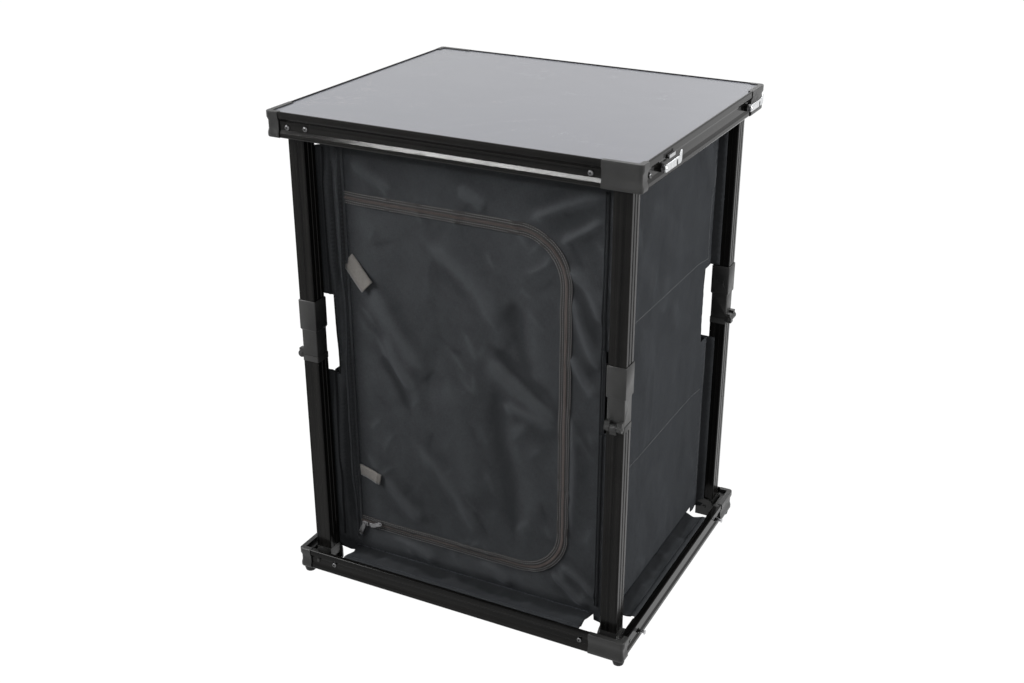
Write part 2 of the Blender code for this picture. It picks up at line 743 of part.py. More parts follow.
def tube_loops():
    """The leg's section: a rounded square with two grooves down each face, and its bore."""
    half = LEG_SIDE / 2
    edge = LEG_EDGE_RADIUS
    wide = GROOVE_WIDTH / 2
    outer = []
    for quarter in range(4):
        turn = Matrix.Rotation(math.radians(90 * quarter), 2)
        face = [(half, -half + edge)]
        for centre in (-GROOVE_OFFSET, GROOVE_OFFSET):
            face += [(half, centre - wide), (half - GROOVE_DEPTH, centre - wide * 0.7)]
            face += [(half - GROOVE_DEPTH, centre + wide * 0.7), (half, centre + wide)]
        face += arc((half - edge, half - edge), edge, 0, 90, 2)[:-1]
        outer += [tuple(turn @ Vector(point)) for point in face]
    return [outer, rounded_square(LEG_SIDE - 2 * LEG_WALL, 0.0008, 1)]


def pivot_plug():
    """The half-round foot of a leg, its pivot at the origin, and the stem that fills the tube above it."""
    half = LEG_SIDE / 2 - 0.0002
    shoulder = TUBE_START - SEAT_GAP
    outline = arc((0, 0), half, 180, 360, PLUG_ARC_STEPS) + [(half, shoulder), (-half, shoulder)]
    tongue = prism([outline], -half, half, across=(1, 0, 0), up=(0, 0, 1))
    stem_side = LEG_SIDE - 2 * LEG_WALL - 2 * PLUG_CLEARANCE
    stem_end = PLUG_ROOT + PLUG_LENGTH
    lead = (stem_end + PLUG_LEAD, stem_side - PLUG_LEAD_TAPER)
    stem = tower([(PLUG_ROOT, stem_side), (stem_end, stem_side), lead], BORE_EDGE_RADIUS)
    return combined("UNION", tongue, stem)


def barrel(low, high):
    return rod((0, low, 0), (0, high, 0), BARREL_RADIUS, FINE_SIDES)


def knee_knuckle():
    """The lower half of the knee, its barrel's axis at the origin and the leg's centre at x = KNEE_OFFSET."""
    block_low = -NECK_HEIGHT
    block_high = -SEAT_GAP / 2
    half = BARREL_SPLIT - PIVOT_CLEARANCE
    flange_side = LEG_SIDE + FLANGE_PROUD
    flange = tower([(block_low, flange_side), (block_high, flange_side)], LEG_EDGE_RADIUS)
    stem_side = LEG_SIDE - 2 * LEG_WALL - 2 * PLUG_CLEARANCE
    stem_low = block_low - PLUG_LENGTH
    sections = [
        (stem_low, stem_side - KNUCKLE_LEAD_TAPER),
        (stem_low + PLUG_LEAD, stem_side),
        (block_low + PLUG_LEAD, stem_side),
    ]
    stem = tower(sections, BORE_EDGE_RADIUS)
    body = moved(combined("UNION", flange, stem), (KNEE_OFFSET, 0, 0))
    neck = box((-NECK_STANDOFF, -half, block_low), (BARREL_RADIUS, half, -SEAT_GAP))
    solid = combined("UNION", body, neck, barrel(-half, half))
    clear = BARREL_RADIUS + BARREL_RELIEF
    left = rod((0, -0.02, 0), (0, -BARREL_SPLIT, 0), clear, FINE_SIDES)
    right = rod((0, BARREL_SPLIT, 0), (0, 0.02, 0), clear, FINE_SIDES)
    return combined("DIFFERENCE", solid, left, right)


def finger_ridge():
    """A low oval ridge on the collar's inner face."""
    half = RIDGE_LENGTH / 2 - RIDGE_HEIGHT / 2
    outline = arc((half, 0), RIDGE_HEIGHT / 2, -90, 90, RIDGE_STEPS)
    outline += arc((-half, 0), RIDGE_HEIGHT / 2, 90, 270, RIDGE_STEPS)
    face = COLLAR_SIDE / 2
    flat = prism([outline], -face - RIDGE_PROUD, -face + 0.001, across=(1, 0, 0), up=(0, 0, 1))
    return moved(flat, (KNEE_OFFSET, 0, RIDGE_RISE))


def knee_socket():
    """The upper half of the knee: two barrels, a narrow neck and the collar that grips the upper tube."""
    body = tower(
        [
            (SEAT_GAP / 2, NARROW_SIDE),
            (COLLAR_LOW - COLLAR_CHAMFER, NARROW_SIDE),
            (COLLAR_LOW, COLLAR_SIDE),
            (COLLAR_HIGH - 0.001, COLLAR_SIDE),
            (COLLAR_HIGH, COLLAR_SIDE - COLLAR_TOP_EASE),
        ],
        LEG_EDGE_RADIUS,
    )
    pocket_side = LEG_SIDE + 2 * PLUG_CLEARANCE
    pocket_low = COLLAR_LOW + COLLAR_FLOOR
    pocket = tower([(pocket_low, pocket_side), (COLLAR_HIGH + 0.01, pocket_side)], LEG_EDGE_RADIUS)
    post_side = LEG_SIDE - 2 * LEG_WALL - 2 * PLUG_CLEARANCE
    post_top = COLLAR_LOW + COLLAR_POST
    lead = (post_top + PLUG_LEAD, post_side - PLUG_LEAD_TAPER)
    post = tower([(COLLAR_LOW, post_side), (post_top, post_side), lead], BORE_EDGE_RADIUS)
    cup = combined("DIFFERENCE", body, pocket)
    body = moved(combined("UNION", cup, post), (KNEE_OFFSET, 0, 0))
    split = BARREL_SPLIT + PIVOT_CLEARANCE
    end = NARROW_SIDE / 2
    lugs = []
    for low, high in ((-end, -split), (split, end)):
        lugs.append(box((-NECK_STANDOFF, low, SEAT_GAP), (BARREL_RADIUS, high, NECK_HEIGHT)))
        lugs.append(barrel(low, high))
    solid = combined("UNION", body, *lugs, finger_ridge())
    relief = rod((0, -BARREL_SPLIT, 0), (0, BARREL_SPLIT, 0), BARREL_RADIUS + BARREL_RELIEF, FINE_SIDES)
    return combined("UNION", combined("DIFFERENCE", solid, relief), knee_pin())


def knee_pin():
    """The pin pressed into the socket's barrels."""
    end = NARROW_SIDE / 2
    shank = rod((0, -end - 0.0003, 0), (0, end + 0.0003, 0), PIN_RADIUS, FINE_SIDES)
    heads = []
    for side in (-1, 1):
        inner = (0, side * (end - 0.0005), 0)
        outer = (0, side * (end + PIN_HEAD_HEIGHT), 0)
        heads.append(rod(inner, outer, PIN_HEAD_RADIUS, FINE_SIDES, PIN_HEAD_RADIUS - 0.0008))
    return combined("UNION", shank, *heads)


def build_legs(base, finishes, bottom_holes, top_holes):
    """Four folding legs. Lower pieces turn on the bottom pivot, upper pieces on the knee."""
    block_low = HALF_LEG - NECK_HEIGHT - SEAT_GAP
    lower_tube = prism(tube_loops(), TUBE_START, block_low)
    upper_start = COLLAR_LOW + COLLAR_FLOOR + SEAT_GAP
    upper_tube = moved(prism(tube_loops(), upper_start, HALF_LEG - TUBE_START), (KNEE_OFFSET, 0, 0))
    foot_plug = pivot_plug()
    flipped = Matrix.Rotation(math.pi, 3, "Y").to_quaternion()
    head_plug = moved(foot_plug, (KNEE_OFFSET, 0, HALF_LEG), flipped)
    bore = rod((0, -0.03, 0), (0, 0.03, 0), PIN_RADIUS + PIVOT_CLEARANCE, FINE_SIDES)
    knuckle, socket = knee_knuckle(), knee_socket()
    moulded = finishes["plastic"]
    for name, x_side, y_side, turn in CORNERS:
        foot_place = leg_place(x_side, y_side, BOTTOM_PIVOT_Z)
        outward = turned((-KNEE_OFFSET, 0, 0), turn)
        knee_place = tuple(Vector(leg_place(x_side, y_side, KNEE_Z)) + outward)
        lower = anchor(f"foot_pivot_{name}", foot_place, base)
        upper = anchor(f"knee_axis_{name}", knee_place, lower)
        bores = cutter(f"knee_bore_{name}", bore.copy(), knee_place, turn)
        part(f"lower_leg_tube_{name}", lower_tube.copy(), finishes["tube"], lower, foot_place, turn)
        plug = part(f"lower_leg_plug_{name}", foot_plug.copy(), moulded, lower, foot_place, turn)
        drill(plug, bottom_holes)
        hinge = part(f"knee_knuckle_{name}", knuckle.copy(), moulded, lower, knee_place, turn)
        drill(hinge, bores)
        part(f"upper_leg_tube_{name}", upper_tube.copy(), finishes["tube"], upper, knee_place, turn)
        part(f"knee_socket_{name}", socket.copy(), moulded, upper, knee_place, turn)
        plug = part(f"upper_leg_plug_{name}", head_plug.copy(), moulded, upper, knee_place, turn)
        drill(plug, top_holes)


def worktop(carrier, material):
    """The board, let into the top frame's rails and notched round the brackets' plates."""
    edge = RAIL_SETBACK + LIP_WALL + SEAT_GAP
    inner = CORNER_PLATE_REACH + SEAT_GAP
    long_end = LONG_ARM + SEAT_GAP
    short_end = SHORT_ARM + SEAT_GAP
    notch = [(edge, long_end), (inner, long_end), (inner, inner), (short_end, inner), (short_end, edge)]
    outline = []
    for _, x_side, y_side, turn in CORNERS:
        corner = Vector((x_side * FRAME_WIDTH / 2, y_side * FRAME_DEPTH / 2, 0))
        outline += [tuple((corner + turned((*point, 0), turn)).xy) for point in notch]
    slab = prism([outline], WORKTOP_UNDER, WORKTOP_UNDER + WORKTOP_THICKNESS)
    part("top_panel", slab, material, carrier)


def hook_outline():
    """The hook plate, its rivet at the origin: round end, open notch for the stud, and a thumb tab."""
    half = LATCH_PLATE_SIDE / 2
    notch = STUD_RADIUS + PIVOT_CLEARANCE
    points = arc((0, 0), half, 90, 270, 8)
    points += [(HOOK_REACH - notch, -half)]
    points += arc((HOOK_REACH, 0), notch, 180, 0, 6)
    points += [(HOOK_REACH + notch, -half)]
    points += [(HOOK_LENGTH - 0.004, -half), (HOOK_LENGTH - 0.001, -half + 0.003)]
    points += [(HOOK_LENGTH, half + HOOK_TAB - 0.001), (HOOK_LENGTH - 0.002, half + HOOK_TAB)]
    points += [(HOOK_LENGTH - 0.006, half + HOOK_TAB - 0.001), (HOOK_LENGTH - 0.010, half)]
    return points


def latch_bases():
    """Round bases riveted on the right top rail, and the tab above the front hook."""
    face = LATCH_X - 0.001
    end = LATCH_X + LATCH_STANDOFF - SEAT_GAP
    bases = []
    for y in LATCH_ALONG:
        puck = rod((face, y, LATCH_Z), (end, y, LATCH_Z), LATCH_BASE_RADIUS, FINE_SIDES)
        bore = LATCH_STEM_RADIUS + PIVOT_CLEARANCE
        hole = rod((LATCH_X + 0.004, y, LATCH_Z), (end + 0.01, y, LATCH_Z), bore, FINE_SIDES)
        bases.append(combined("DIFFERENCE", puck, hole))
    lip = FRAME_WIDTH / 2 - RAIL_SETBACK
    start = LATCH_ALONG[0] + TAB_START
    tab_top = TABLE_HEIGHT - TAB_UNDER_TOP
    tab_low = (lip - 0.002, start, tab_top - TAB_THICKNESS)
    tab_high = (lip + TAB_PROUD, start + TAB_LENGTH, tab_top)
    bases.append(box(tab_low, tab_high))
    return bases


def latch_hooks(carrier, material):
    """A bright hook plate on each base, lying back along the rail."""
    plate = prism([hook_outline()], 0, LATCH_PLATE, across=(0, 1, 0), up=(0, 0, 1))
    head_top = LATCH_PLATE + LATCH_RIVET_HEIGHT
    stem = rod((-LATCH_STEM_DEPTH, 0, 0), (head_top - 0.0003, 0, 0), LATCH_STEM_RADIUS, FINE_SIDES)
    seat = (LATCH_PLATE - 0.0002, 0, 0)
    head = rod(seat, (head_top, 0, 0), LATCH_RIVET_RADIUS, FINE_SIDES, LATCH_RIVET_RADIUS - 0.001)
    hook = combined("UNION", plate, stem, head)
    for name, y in zip(("front", "rear"), LATCH_ALONG):
        place = (LATCH_X + LATCH_STANDOFF, y, LATCH_Z)
        pivot = anchor(f"latch_pivot_{name}", place, carrier)
        part(f"latch_hook_{name}", hook.copy(), material, pivot, place)


def bulged_slab(width_low, width_high, bulge):
    """A cloth slab in the XZ plane, its outer face at y = 0 and swelling towards -Y."""
    columns = max(4, round((width_high - width_low) / CLOTH_CELL))
    rows = round((WALL_HIGH - WALL_LOW) / CLOTH_CELL)
    width = width_high - width_low + 2 * CLOTH_MARGIN
    height = WALL_HIGH - WALL_LOW + 2 * CLOTH_MARGIN
    centre = Vector(((width_low + width_high) / 2, 0, (WALL_LOW + WALL_HIGH) / 2))
    bm = bmesh.new()
    upright = Matrix.Rotation(math.radians(90), 4, "X")
    scale = Matrix.Diagonal((width / 2, 1, height / 2, 1))
    place = Matrix.Translation(centre) @ scale @ upright
    bmesh.ops.create_grid(bm, x_segments=columns, y_segments=rows, size=1, matrix=place)
    made = bmesh.ops.extrude_face_region(bm, geom=bm.faces[:])
    inner = {v for v in made["geom"] if isinstance(v, bmesh.types.BMVert)}
    for vert in bm.verts:
        vert.co.y = -bulge(vert.co.x, vert.co.z) + (CLOTH if vert in inner else 0.0)
    return mesh_of(bm)


def tiers():
    """Heights of the seams where floor, shelves and worktop hold the cloth."""
    return (WALL_LOW, LOWER_SHELF_TOP, UPPER_SHELF_TOP, WALL_HIGH)


def tier_bulge(width_low, width_high):
    """How far a wall swells between its seams, with slow diagonal folds."""

    def bulge(x, z):
        across = (x - width_low) / (width_high - width_low)
        side = math.sin(math.pi * min(1.0, max(0.0, across)))
        swell = 0.0
        for low, high in zip(tiers(), tiers()[1:]):
            if low + SEAM_MARGIN < z < high - SEAM_MARGIN:
                swell = math.sin(math.pi * (z - low) / (high - low))
        fold = 0.5 + 0.5 * math.sin(28 * x + 17 * z)
        return BULGE * side * swell * (0.55 + 0.45 * fold)

    return bulge


def notched_wall(low_x, high_x, depth, top_depth, bottom_depth):
    """A wall's outline with an opening beside each knee and at each top and bottom corner."""
    top = WALL_HIGH - TOP_NOTCH_DROP
    return [
        (low_x + bottom_depth, WALL_LOW),
        (high_x - bottom_depth, WALL_LOW),
        (high_x - bottom_depth, BOTTOM_NOTCH_HIGH),
        (high_x, BOTTOM_NOTCH_HIGH + NOTCH_SLANT),
        (high_x, KNEE_NOTCH_LOW),
        (high_x - depth, KNEE_NOTCH_LOW),
        (high_x - depth, KNEE_NOTCH_HIGH),
        (high_x, KNEE_NOTCH_HIGH),
        (high_x, top),
        (high_x - top_depth, top + top_depth),
        (high_x - top_depth, WALL_HIGH),
        (low_x + top_depth, WALL_HIGH),
        (low_x + top_depth, top + top_depth),
        (low_x, top),
        (low_x, KNEE_NOTCH_HIGH),
        (low_x + depth, KNEE_NOTCH_HIGH),
        (low_x + depth, KNEE_NOTCH_LOW),
        (low_x, KNEE_NOTCH_LOW),
        (low_x, BOTTOM_NOTCH_HIGH + NOTCH_SLANT),
        (low_x + bottom_depth, BOTTOM_NOTCH_HIGH),
    ]


def door_outline(grow):
    """The D of the door, square at the seam and round at the zip's corners, grown outwards."""
    radius = DOOR_RADIUS + grow
    right, low, high = DOOR_RIGHT + grow, DOOR_LOW - grow, DOOR_HIGH + grow
    seam = DOOR_LEFT + (SEAT_GAP if grow <= 0 else 0.0)
    points = [(seam, low)]
    points += arc((right - radius, low + radius), radius, -90, 0, ARC_STEPS)
    points += arc((right - radius, high - radius), radius, 0, 90, ARC_STEPS)
    points += [(seam, high)]
    return points


def cut_cloth(slab, loops):
    """The slab trimmed to an outline in the XZ plane."""
    blank = prism(loops, -0.02, 0.02, across=(1, 0, 0), up=(0, 0, 1))
    return combined("INTERSECT", slab, blank)


def skirt(low_x, high_x, reach):
    """The strip that ties a wall's lower edge to the rail beside it."""
    high = WALL_LOW + CLOTH
    outline = [
        (-reach, high - SKIRT_DROP),
        (-reach, high - SKIRT_DROP - CLOTH),
        (CLOTH * 0.6, high - CLOTH * 0.8),
        (CLOTH * 0.6, high),
    ]
    return prism([outline], low_x, high_x, across=(0, 1, 0), up=(0, 0, 1))


def wall(low_x, high_x, depth, top_depth, bottom_depth, reach, bulge=None, holes=()):
    """One cloth wall with its skirt, its outer face towards -Y at y = 0. With no bulge it is taut."""
    outline = notched_wall(low_x, high_x, depth, top_depth, bottom_depth)
    if bulge:
        panel = cut_cloth(bulged_slab(low_x, high_x, bulge), [outline])
    else:
        panel = prism([outline, *holes], -CLOTH, 0, across=(1, 0, 0), up=(0, 0, 1))
    hem = CLOTH + bottom_depth
    return combined("UNION", panel, skirt(low_x + hem, high_x - hem, reach))


def door_bulge(x, z):
    """The door's slack: wide soft folds that die out towards its seam, zip and ties."""
    across = min(1.0, max(0.0, (x - DOOR_LEFT - 0.06) / (DOOR_RIGHT - DOOR_LEFT - 0.085)))
    along = min(1.0, max(0.0, (z - DOOR_LOW - 0.03) / (DOOR_HIGH - DOOR_LOW - 0.06)))
    fold = 0.5 + 0.5 * math.sin(24 * x - 15 * z)
    return BULGE * math.sin(math.pi * across) * math.sin(math.pi * along) * (0.45 + 0.55 * fold)


def cupboard_walls(base, cloth):
    """Front, back and two side walls, hung between the frames."""
    wide = BOX_X + WALL_FLANGE
    front_reach = BOX_FRONT + FRAME_DEPTH / 2 - RAIL_DEPTH - SEAT_GAP
    back_reach = FRAME_DEPTH / 2 - RAIL_DEPTH - SEAT_GAP - BOX_BACK
    side_reach = FRAME_WIDTH / 2 - RAIL_DEPTH - SEAT_GAP - BOX_X
    depth = FRONT_NOTCH_DEPTH + WALL_FLANGE
    low_depth = SKIRT_END + WALL_FLANGE
    opening = door_outline(DOOR_GAP)
    front = wall(-wide, wide, depth, WALL_FLANGE, low_depth, front_reach, holes=[opening])
    part("front_panel", front, cloth, base, (0, BOX_FRONT, 0))
    back = wall(-wide, wide, depth, WALL_FLANGE, low_depth, back_reach, tier_bulge(-wide, wide))
    part("back_panel", back, cloth, base, (0, BOX_BACK, 0), 180)
    near = BOX_FRONT + CLOTH + SEAT_GAP
    far = BOX_BACK - CLOTH - SEAT_GAP
    for name, turn, side, low, high in (("right", 90, 1, near, far), ("left", 270, -1, -far, -near)):
        bulge = tier_bulge(low, high)
        panel = wall(low, high, SIDE_NOTCH_DEPTH, SIDE_TOP_NOTCH, SKIRT_END, side_reach, bulge)
        part(f"{name}_panel", panel, cloth, base, (side * BOX_X, 0, 0), turn)


def door(base, finishes):
    """The door on its seam at the left, and its two webbing ties."""
    hinge_place = (DOOR_LEFT, BOX_FRONT, (DOOR_LOW + DOOR_HIGH) / 2)
    hinge = anchor("door_seam", hinge_place, base)
    slab = bulged_slab(DOOR_LEFT, DOOR_RIGHT, door_bulge)
    panel = cut_cloth(slab, [door_outline(0.0)])
    panel = moved(panel, (-DOOR_LEFT, 0, -hinge_place[2]))
    ties = []
    for height, angle in ((UPPER_TIE_HEIGHT, UPPER_TIE_ANGLE), (LOWER_TIE_HEIGHT, LOWER_TIE_ANGLE)):
        half = TIE_WIDTH / 2
        outline = [(TIE_ROOT, -half), (TIE_LENGTH, -half), (TIE_LENGTH, half), (TIE_ROOT, half)]
        strap = prism([outline], -CLOTH / 2, TIE_THICKNESS, across=(1, 0, 0), up=(0, 0, 1))
        lean = Matrix.Rotation(-math.radians(angle), 3, "Y").to_quaternion()
        start = (TIE_FROM_SEAM, 0, height - hinge_place[2])
        ties.append(moved(strap, start, lean))
    part("door_panel", combined("UNION", panel, *ties), finishes["cloth"], hinge, hinge_place)


def zip_tape(base, material):
    """The fixed half of the zip's tape, round three sides of the door."""
    outline = door_outline(TAPE_WIDTH) + door_outline(DOOR_GAP)[::-1]
    strip = prism([outline], SEAT_GAP, SEAT_GAP + TAPE_THICKNESS, across=(1, 0, 0), up=(0, 0, 1))
    part("zipper_tape", strip, material, base, (0, BOX_FRONT, 0))


def slider_body():
    """A zip slider: a waisted plate with a raised bridge for the pull."""
    half = SLIDER_LENGTH / 2
    wide = SLIDER_WIDTH / 2
    outline = [(-half, -wide * 0.55), (-half * 0.2, -wide), (half, -wide * 0.85)]
    outline += [(half, wide * 0.85), (-half * 0.2, wide), (-half, wide * 0.55)]
    high = SLIDER_HEIGHT / 2
    plate = prism([outline], -high, SLIDER_PLATE - high, across=(1, 0, 0), up=(0, 0, 1))
    low = 0.001 - high
    side = [(-half * 0.8, low), (half * 0.8, low), (half * 0.6, high), (-half * 0.6, high)]
    bridge = prism([side], -SLIDER_BRIDGE_HALF, SLIDER_BRIDGE_HALF, across=(1, 0, 0), up=(0, -1, 0))
    return combined("UNION", plate, bridge)


def pull_tab(angle):
    """A flat pull with a hole near its end, leaning at an angle from +X in the wall's plane."""
    half = PULL_WIDTH / 2
    thick = PULL_THICKNESS / 2
    eye = (PULL_LENGTH - half, 0)
    outline = [(-0.0004, -half * 0.6), (PULL_NECK, -half)]
    outline += arc(eye, half, -90, 90, ARC_STEPS + 1)
    outline += [(PULL_NECK, half), (-0.0004, half * 0.6)]
    hole = arc(eye, half * 0.45, 0, 360 - 360 / SMALL_SIDES, SMALL_SIDES - 1)
    flat = prism([outline, hole], -thick, thick, across=(1, 0, 0), up=(0, 0, 1))
    lean = Matrix.Rotation(-math.radians(angle), 3, "Y").to_quaternion()
    return moved(flat, (0, 0, 0), lean)


def zip_sliders(base, finishes):
    """Two sliders at the closed end of the zip. The first stays at the end, the second runs along +X."""
    end_place = (END_SLIDER_X, SLIDER_Y, SLIDER_Z)
    slider_place = (SLIDER_X, SLIDER_Y, SLIDER_Z)
    end = anchor("zip_end", end_place, base)
    run = anchor("zip_run", slider_place, end)
    pull_place = (SLIDER_X, PULL_Y, SLIDER_Z)
    swing = anchor("zip_pull_axis", pull_place, run)
    end_pull = moved(pull_tab(END_PULL_ANGLE), (0, PULL_Y - SLIDER_Y + 3 * SEAT_GAP, 0))
    part("zip_slider_end", combined("UNION", slider_body(), end_pull), finishes["zip"], end, end_place)
    part("zip_slider", slider_body(), finishes["zip"], run, slider_place)
    part("zip_pull", pull_tab(PULL_ANGLE), finishes["zip"], swing, pull_place)


def board(low_y, high_y, half_x, top, thickness):
    return box((-half_x, low_y, top - thickness), (half_x, high_y, top))


def shelves(base, top, material):
    """The floor board and the two shelves, each reaching the cloth walls."""
    half_x = BOX_X - CLOTH - SEAT_GAP
    low_y = BOX_FRONT + CLOTH + SEAT_GAP
    high_y = BOX_BACK - CLOTH - SEAT_GAP
    part("floor_board", board(low_y, high_y, half_x, FLOOR_TOP, FLOOR_THICKNESS), material, base)
    lower = anchor("lower_shelf_slide", (0, 0, LOWER_SHELF_TOP), base)
    upper = anchor("upper_shelf_slide", (0, 0, UPPER_SHELF_TOP), top)
    for name, carrier, height in (("lower", lower, LOWER_SHELF_TOP), ("upper", upper, UPPER_SHELF_TOP)):
        shelf = board(low_y, high_y, half_x, 0.0, SHELF_THICKNESS)
        part(f"shelf_{name}", shelf, material, carrier, (0, 0, height))


def main():
    global PARTS, CUTTERS
    clear_scene()
    PARTS = new_collection("camp_kitchen_cabinet")
    CUTTERS = new_collection("cutters")
    finishes = {
        "rail": finish("anodised_rail", (0.035, 0.034, 0.034), 0.38, 0.85),
        "tube": finish("anodised_tube", (0.030, 0.029, 0.028), 0.42, 0.85),
        "plastic": finish("moulded_plastic", (0.028, 0.028, 0.027), 0.5),
        "bright": finish("bright_steel", (0.75, 0.76, 0.77), 0.2, 1.0),
        "worktop": finish("grey_worktop", (0.16, 0.165, 0.175), 0.3),
        "rubber": finish("rubber", (0.02, 0.02, 0.02), 0.8),
        "cloth": finish("charcoal_cloth", (0.035, 0.037, 0.040), 0.85),
        "tape": finish("zip_tape", (0.05, 0.045, 0.045), 0.8),
        "zip": finish("zip_metal", (0.12, 0.12, 0.12), 0.4, 0.8),
        "board": finish("shelf_board", (0.05, 0.05, 0.055), 0.7),
    }
    base = anchor("bottom_frame", (0, 0, FOOT_HEIGHT))
    top = anchor("top_frame", leg_place(-1, -1, TOP_PIVOT_Z), base)
    bottom_sizes = (FOOT_HEIGHT, BOTTOM_FRAME_HEIGHT, BOTTOM_PIVOT_RISE, BOTTOM_CHEEK_RADIUS, True)
    top_sizes = (TOP_FRAME_LOW, TOP_FRAME_HEIGHT, TOP_PIVOT_RISE, TOP_CHEEK_RADIUS, False)
    bottom_holes = build_frame("bottom", *bottom_sizes, base, finishes, {"right": latch_studs()})
    top_holes = build_frame("top", *top_sizes, top, finishes, {"right": latch_bases()})
    feet(base, finishes["rubber"])
    build_legs(base, finishes, bottom_holes, top_holes)
    worktop(top, finishes["worktop"])
    latch_hooks(top, finishes["bright"])
    cupboard_walls(base, finishes["cloth"])
    door(base, finishes)
    zip_tape(base, finishes["tape"])
    zip_sliders(base, finishes)
    shelves(base, top, finishes["board"])


if __name__ == "__main__":
    main()
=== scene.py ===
import json
import math

import bmesh
import bpy
import numpy as np
from mathutils import Matrix, Vector, noise
from mathutils.geometry import delaunay_2d_cdt

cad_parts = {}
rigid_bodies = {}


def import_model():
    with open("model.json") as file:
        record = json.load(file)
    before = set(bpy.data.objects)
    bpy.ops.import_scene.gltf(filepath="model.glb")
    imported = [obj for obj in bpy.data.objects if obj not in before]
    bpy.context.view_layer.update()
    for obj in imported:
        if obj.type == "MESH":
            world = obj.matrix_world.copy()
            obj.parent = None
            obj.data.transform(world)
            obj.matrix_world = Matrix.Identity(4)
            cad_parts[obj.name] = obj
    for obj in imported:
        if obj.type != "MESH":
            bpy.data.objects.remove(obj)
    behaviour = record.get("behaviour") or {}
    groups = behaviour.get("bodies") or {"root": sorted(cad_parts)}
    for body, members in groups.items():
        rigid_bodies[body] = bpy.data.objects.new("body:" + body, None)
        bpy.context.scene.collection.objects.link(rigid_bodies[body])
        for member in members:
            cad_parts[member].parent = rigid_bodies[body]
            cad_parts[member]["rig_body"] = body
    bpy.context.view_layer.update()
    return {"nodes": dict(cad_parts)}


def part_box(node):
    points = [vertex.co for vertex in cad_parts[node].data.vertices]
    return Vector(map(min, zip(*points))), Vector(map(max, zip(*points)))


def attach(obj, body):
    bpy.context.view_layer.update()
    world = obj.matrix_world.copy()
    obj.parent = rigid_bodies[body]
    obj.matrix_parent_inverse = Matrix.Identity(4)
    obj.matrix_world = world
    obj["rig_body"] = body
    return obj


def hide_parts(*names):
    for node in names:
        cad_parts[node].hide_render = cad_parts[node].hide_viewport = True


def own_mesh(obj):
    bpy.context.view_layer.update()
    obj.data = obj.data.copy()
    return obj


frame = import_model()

bl_info = {
    "name": "Camp kitchen cabinet",
    "version": (1, 0, 0),
    "blender": (4, 5, 0),
    "location": "View3D > Sidebar > Cabinet",
    "description": "Dresses the folding camp kitchen cabinet in cloth, zip, stitches and metal",
    "category": "Object",
}

NODES = frame["nodes"]
CORNERS = ("fl", "fr", "br", "bl")

# The frame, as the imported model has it
HALF_WIDTH = 0.300
HALF_DEPTH = 0.259
LEG_HALF = 0.014
WEB_FACE = 0.0048
RAIL_PIN_X = 0.3004
BARE_STEEL = (0.42, 0.42, 0.43)

# Screw heads: their heights on each body, and how far they are from a corner on either side of it
SCREW_HEIGHTS = (("base", 0.0285), ("top", 0.7825))
SCREW_ALONG_FRONT = 0.068
SCREW_ALONG_SIDE = 0.076
SCREW_SIZE = 1.12
SCREW_SOCKET = 0.00165
BOLT_HEIGHT = 0.7808
BOLT_ALONG = 0.036

# Leg tubes: the two grooves in a face, and the depth and half width of deep and fine ones
GROOVE_PLACES = (-0.0048, 0.0048)
DEEP_GROOVE = (0.0009, 0.0016)
FINE_GROOVE = (0.00022, 0.0005)
TUBE_EDGE = 0.0017
TUBE_END = 0.0004

# How far the edges of the CAD pieces are rounded
CORNER_EDGE = 0.0005
JOINT_EDGE = 0.0004
FOOT_EDGE = 0.0008
METAL_EDGE = 0.0003

# The cloth box
FRONT_Y = -0.198
BACK_Y = 0.2065
SIDE_X = 0.2475
WALL_LOW = 0.0407
WALL_HIGH = 0.7972
FREE_REACH = 0.2620
LEG_SIDE_REACH = 0.2488
SIDE_FRONT = -0.1961
SIDE_BACK = 0.2046
SIDE_COLLAR = 0.0825
BACK_COLLAR = -0.0415
SHELVES = (0.277, 0.520)
SHELF_SEAM_RISE = 0.0035
KNEE_GAP = (0.3665, 0.5045)
SHEET_THICKNESS = 0.0011
HEM_THICKNESS = 0.0016
HEM_HEIGHT = 0.0421
SKIRT_HEIGHT = 0.0416
CELL = 0.0040
COARSE_CELL = 0.0062
FRONT_DEPTH = 0.0049
# FRONT_CREST, BACK_CREST and SIDE_CREST: the height above or below the cloth round a point that
# gets the full painted fold shade
FRONT_CREST = 0.0015
BACK_CREST = 0.0036
SIDE_CREST = 0.0030
CREASE_GAIN = 3.2
CREASE_WIDTH = 0.82
CREASE_SHARPNESS = 1.1

# The door
DOOR_LEFT = -0.2085
DOOR_RIGHT = 0.168
DOOR_LOW = 0.095
DOOR_HIGH = 0.668
DOOR_RADIUS = 0.078
DOOR_GAP = 0.002
ZIP_HALVES = (("wall", "base", 1), ("door", "door", -1))
TAPE_HALF = 0.0098
TAPE_LIFT = 0.0012
TAPE_THICKNESS = 0.0007
TAPE_STITCHES = (0.0052, 0.0088)
PLEAT_ENDS = (0.745, 0.062)
TOOTH = {"along": 0.00115, "across": 0.0026, "height": 0.0014, "unevenness": 0.0}
TIE_THICKNESS = 0.0018
UPPER_TIE = ((-0.2095, 0.5665), (-0.188, 0.5480), (-0.1690, 0.5300))
LOWER_TIE = ((-0.2065, 0.1930), (-0.190, 0.1938), (-0.175, 0.1925), (-0.1610, 0.1895))

# The studio
FLOOR_REACH = 14.0
FLOOR_GREY = 0.22
FLOOR_WHITE = 1.14
FLOOR_SEEN_WHITE = 0.885
LAMP_TARGET = (0.0, 0.0, 0.45)
RAIL_LAMP_ENDS = ((-1.660, -2.350, 1.853), (-0.834, -2.784, 2.025))
RAIL_LAMP_TARGET = (0.06, -0.255, 0.774)
RAIL_LAMP_TALL = 0.045
CAMERA_PLACE = (0.901, -1.786, 1.294)
CAMERA_TURN = (65.68, -0.75, 25.63)
CAMERA_LENS = 46.2
CAMERA_SHIFT = -0.0434

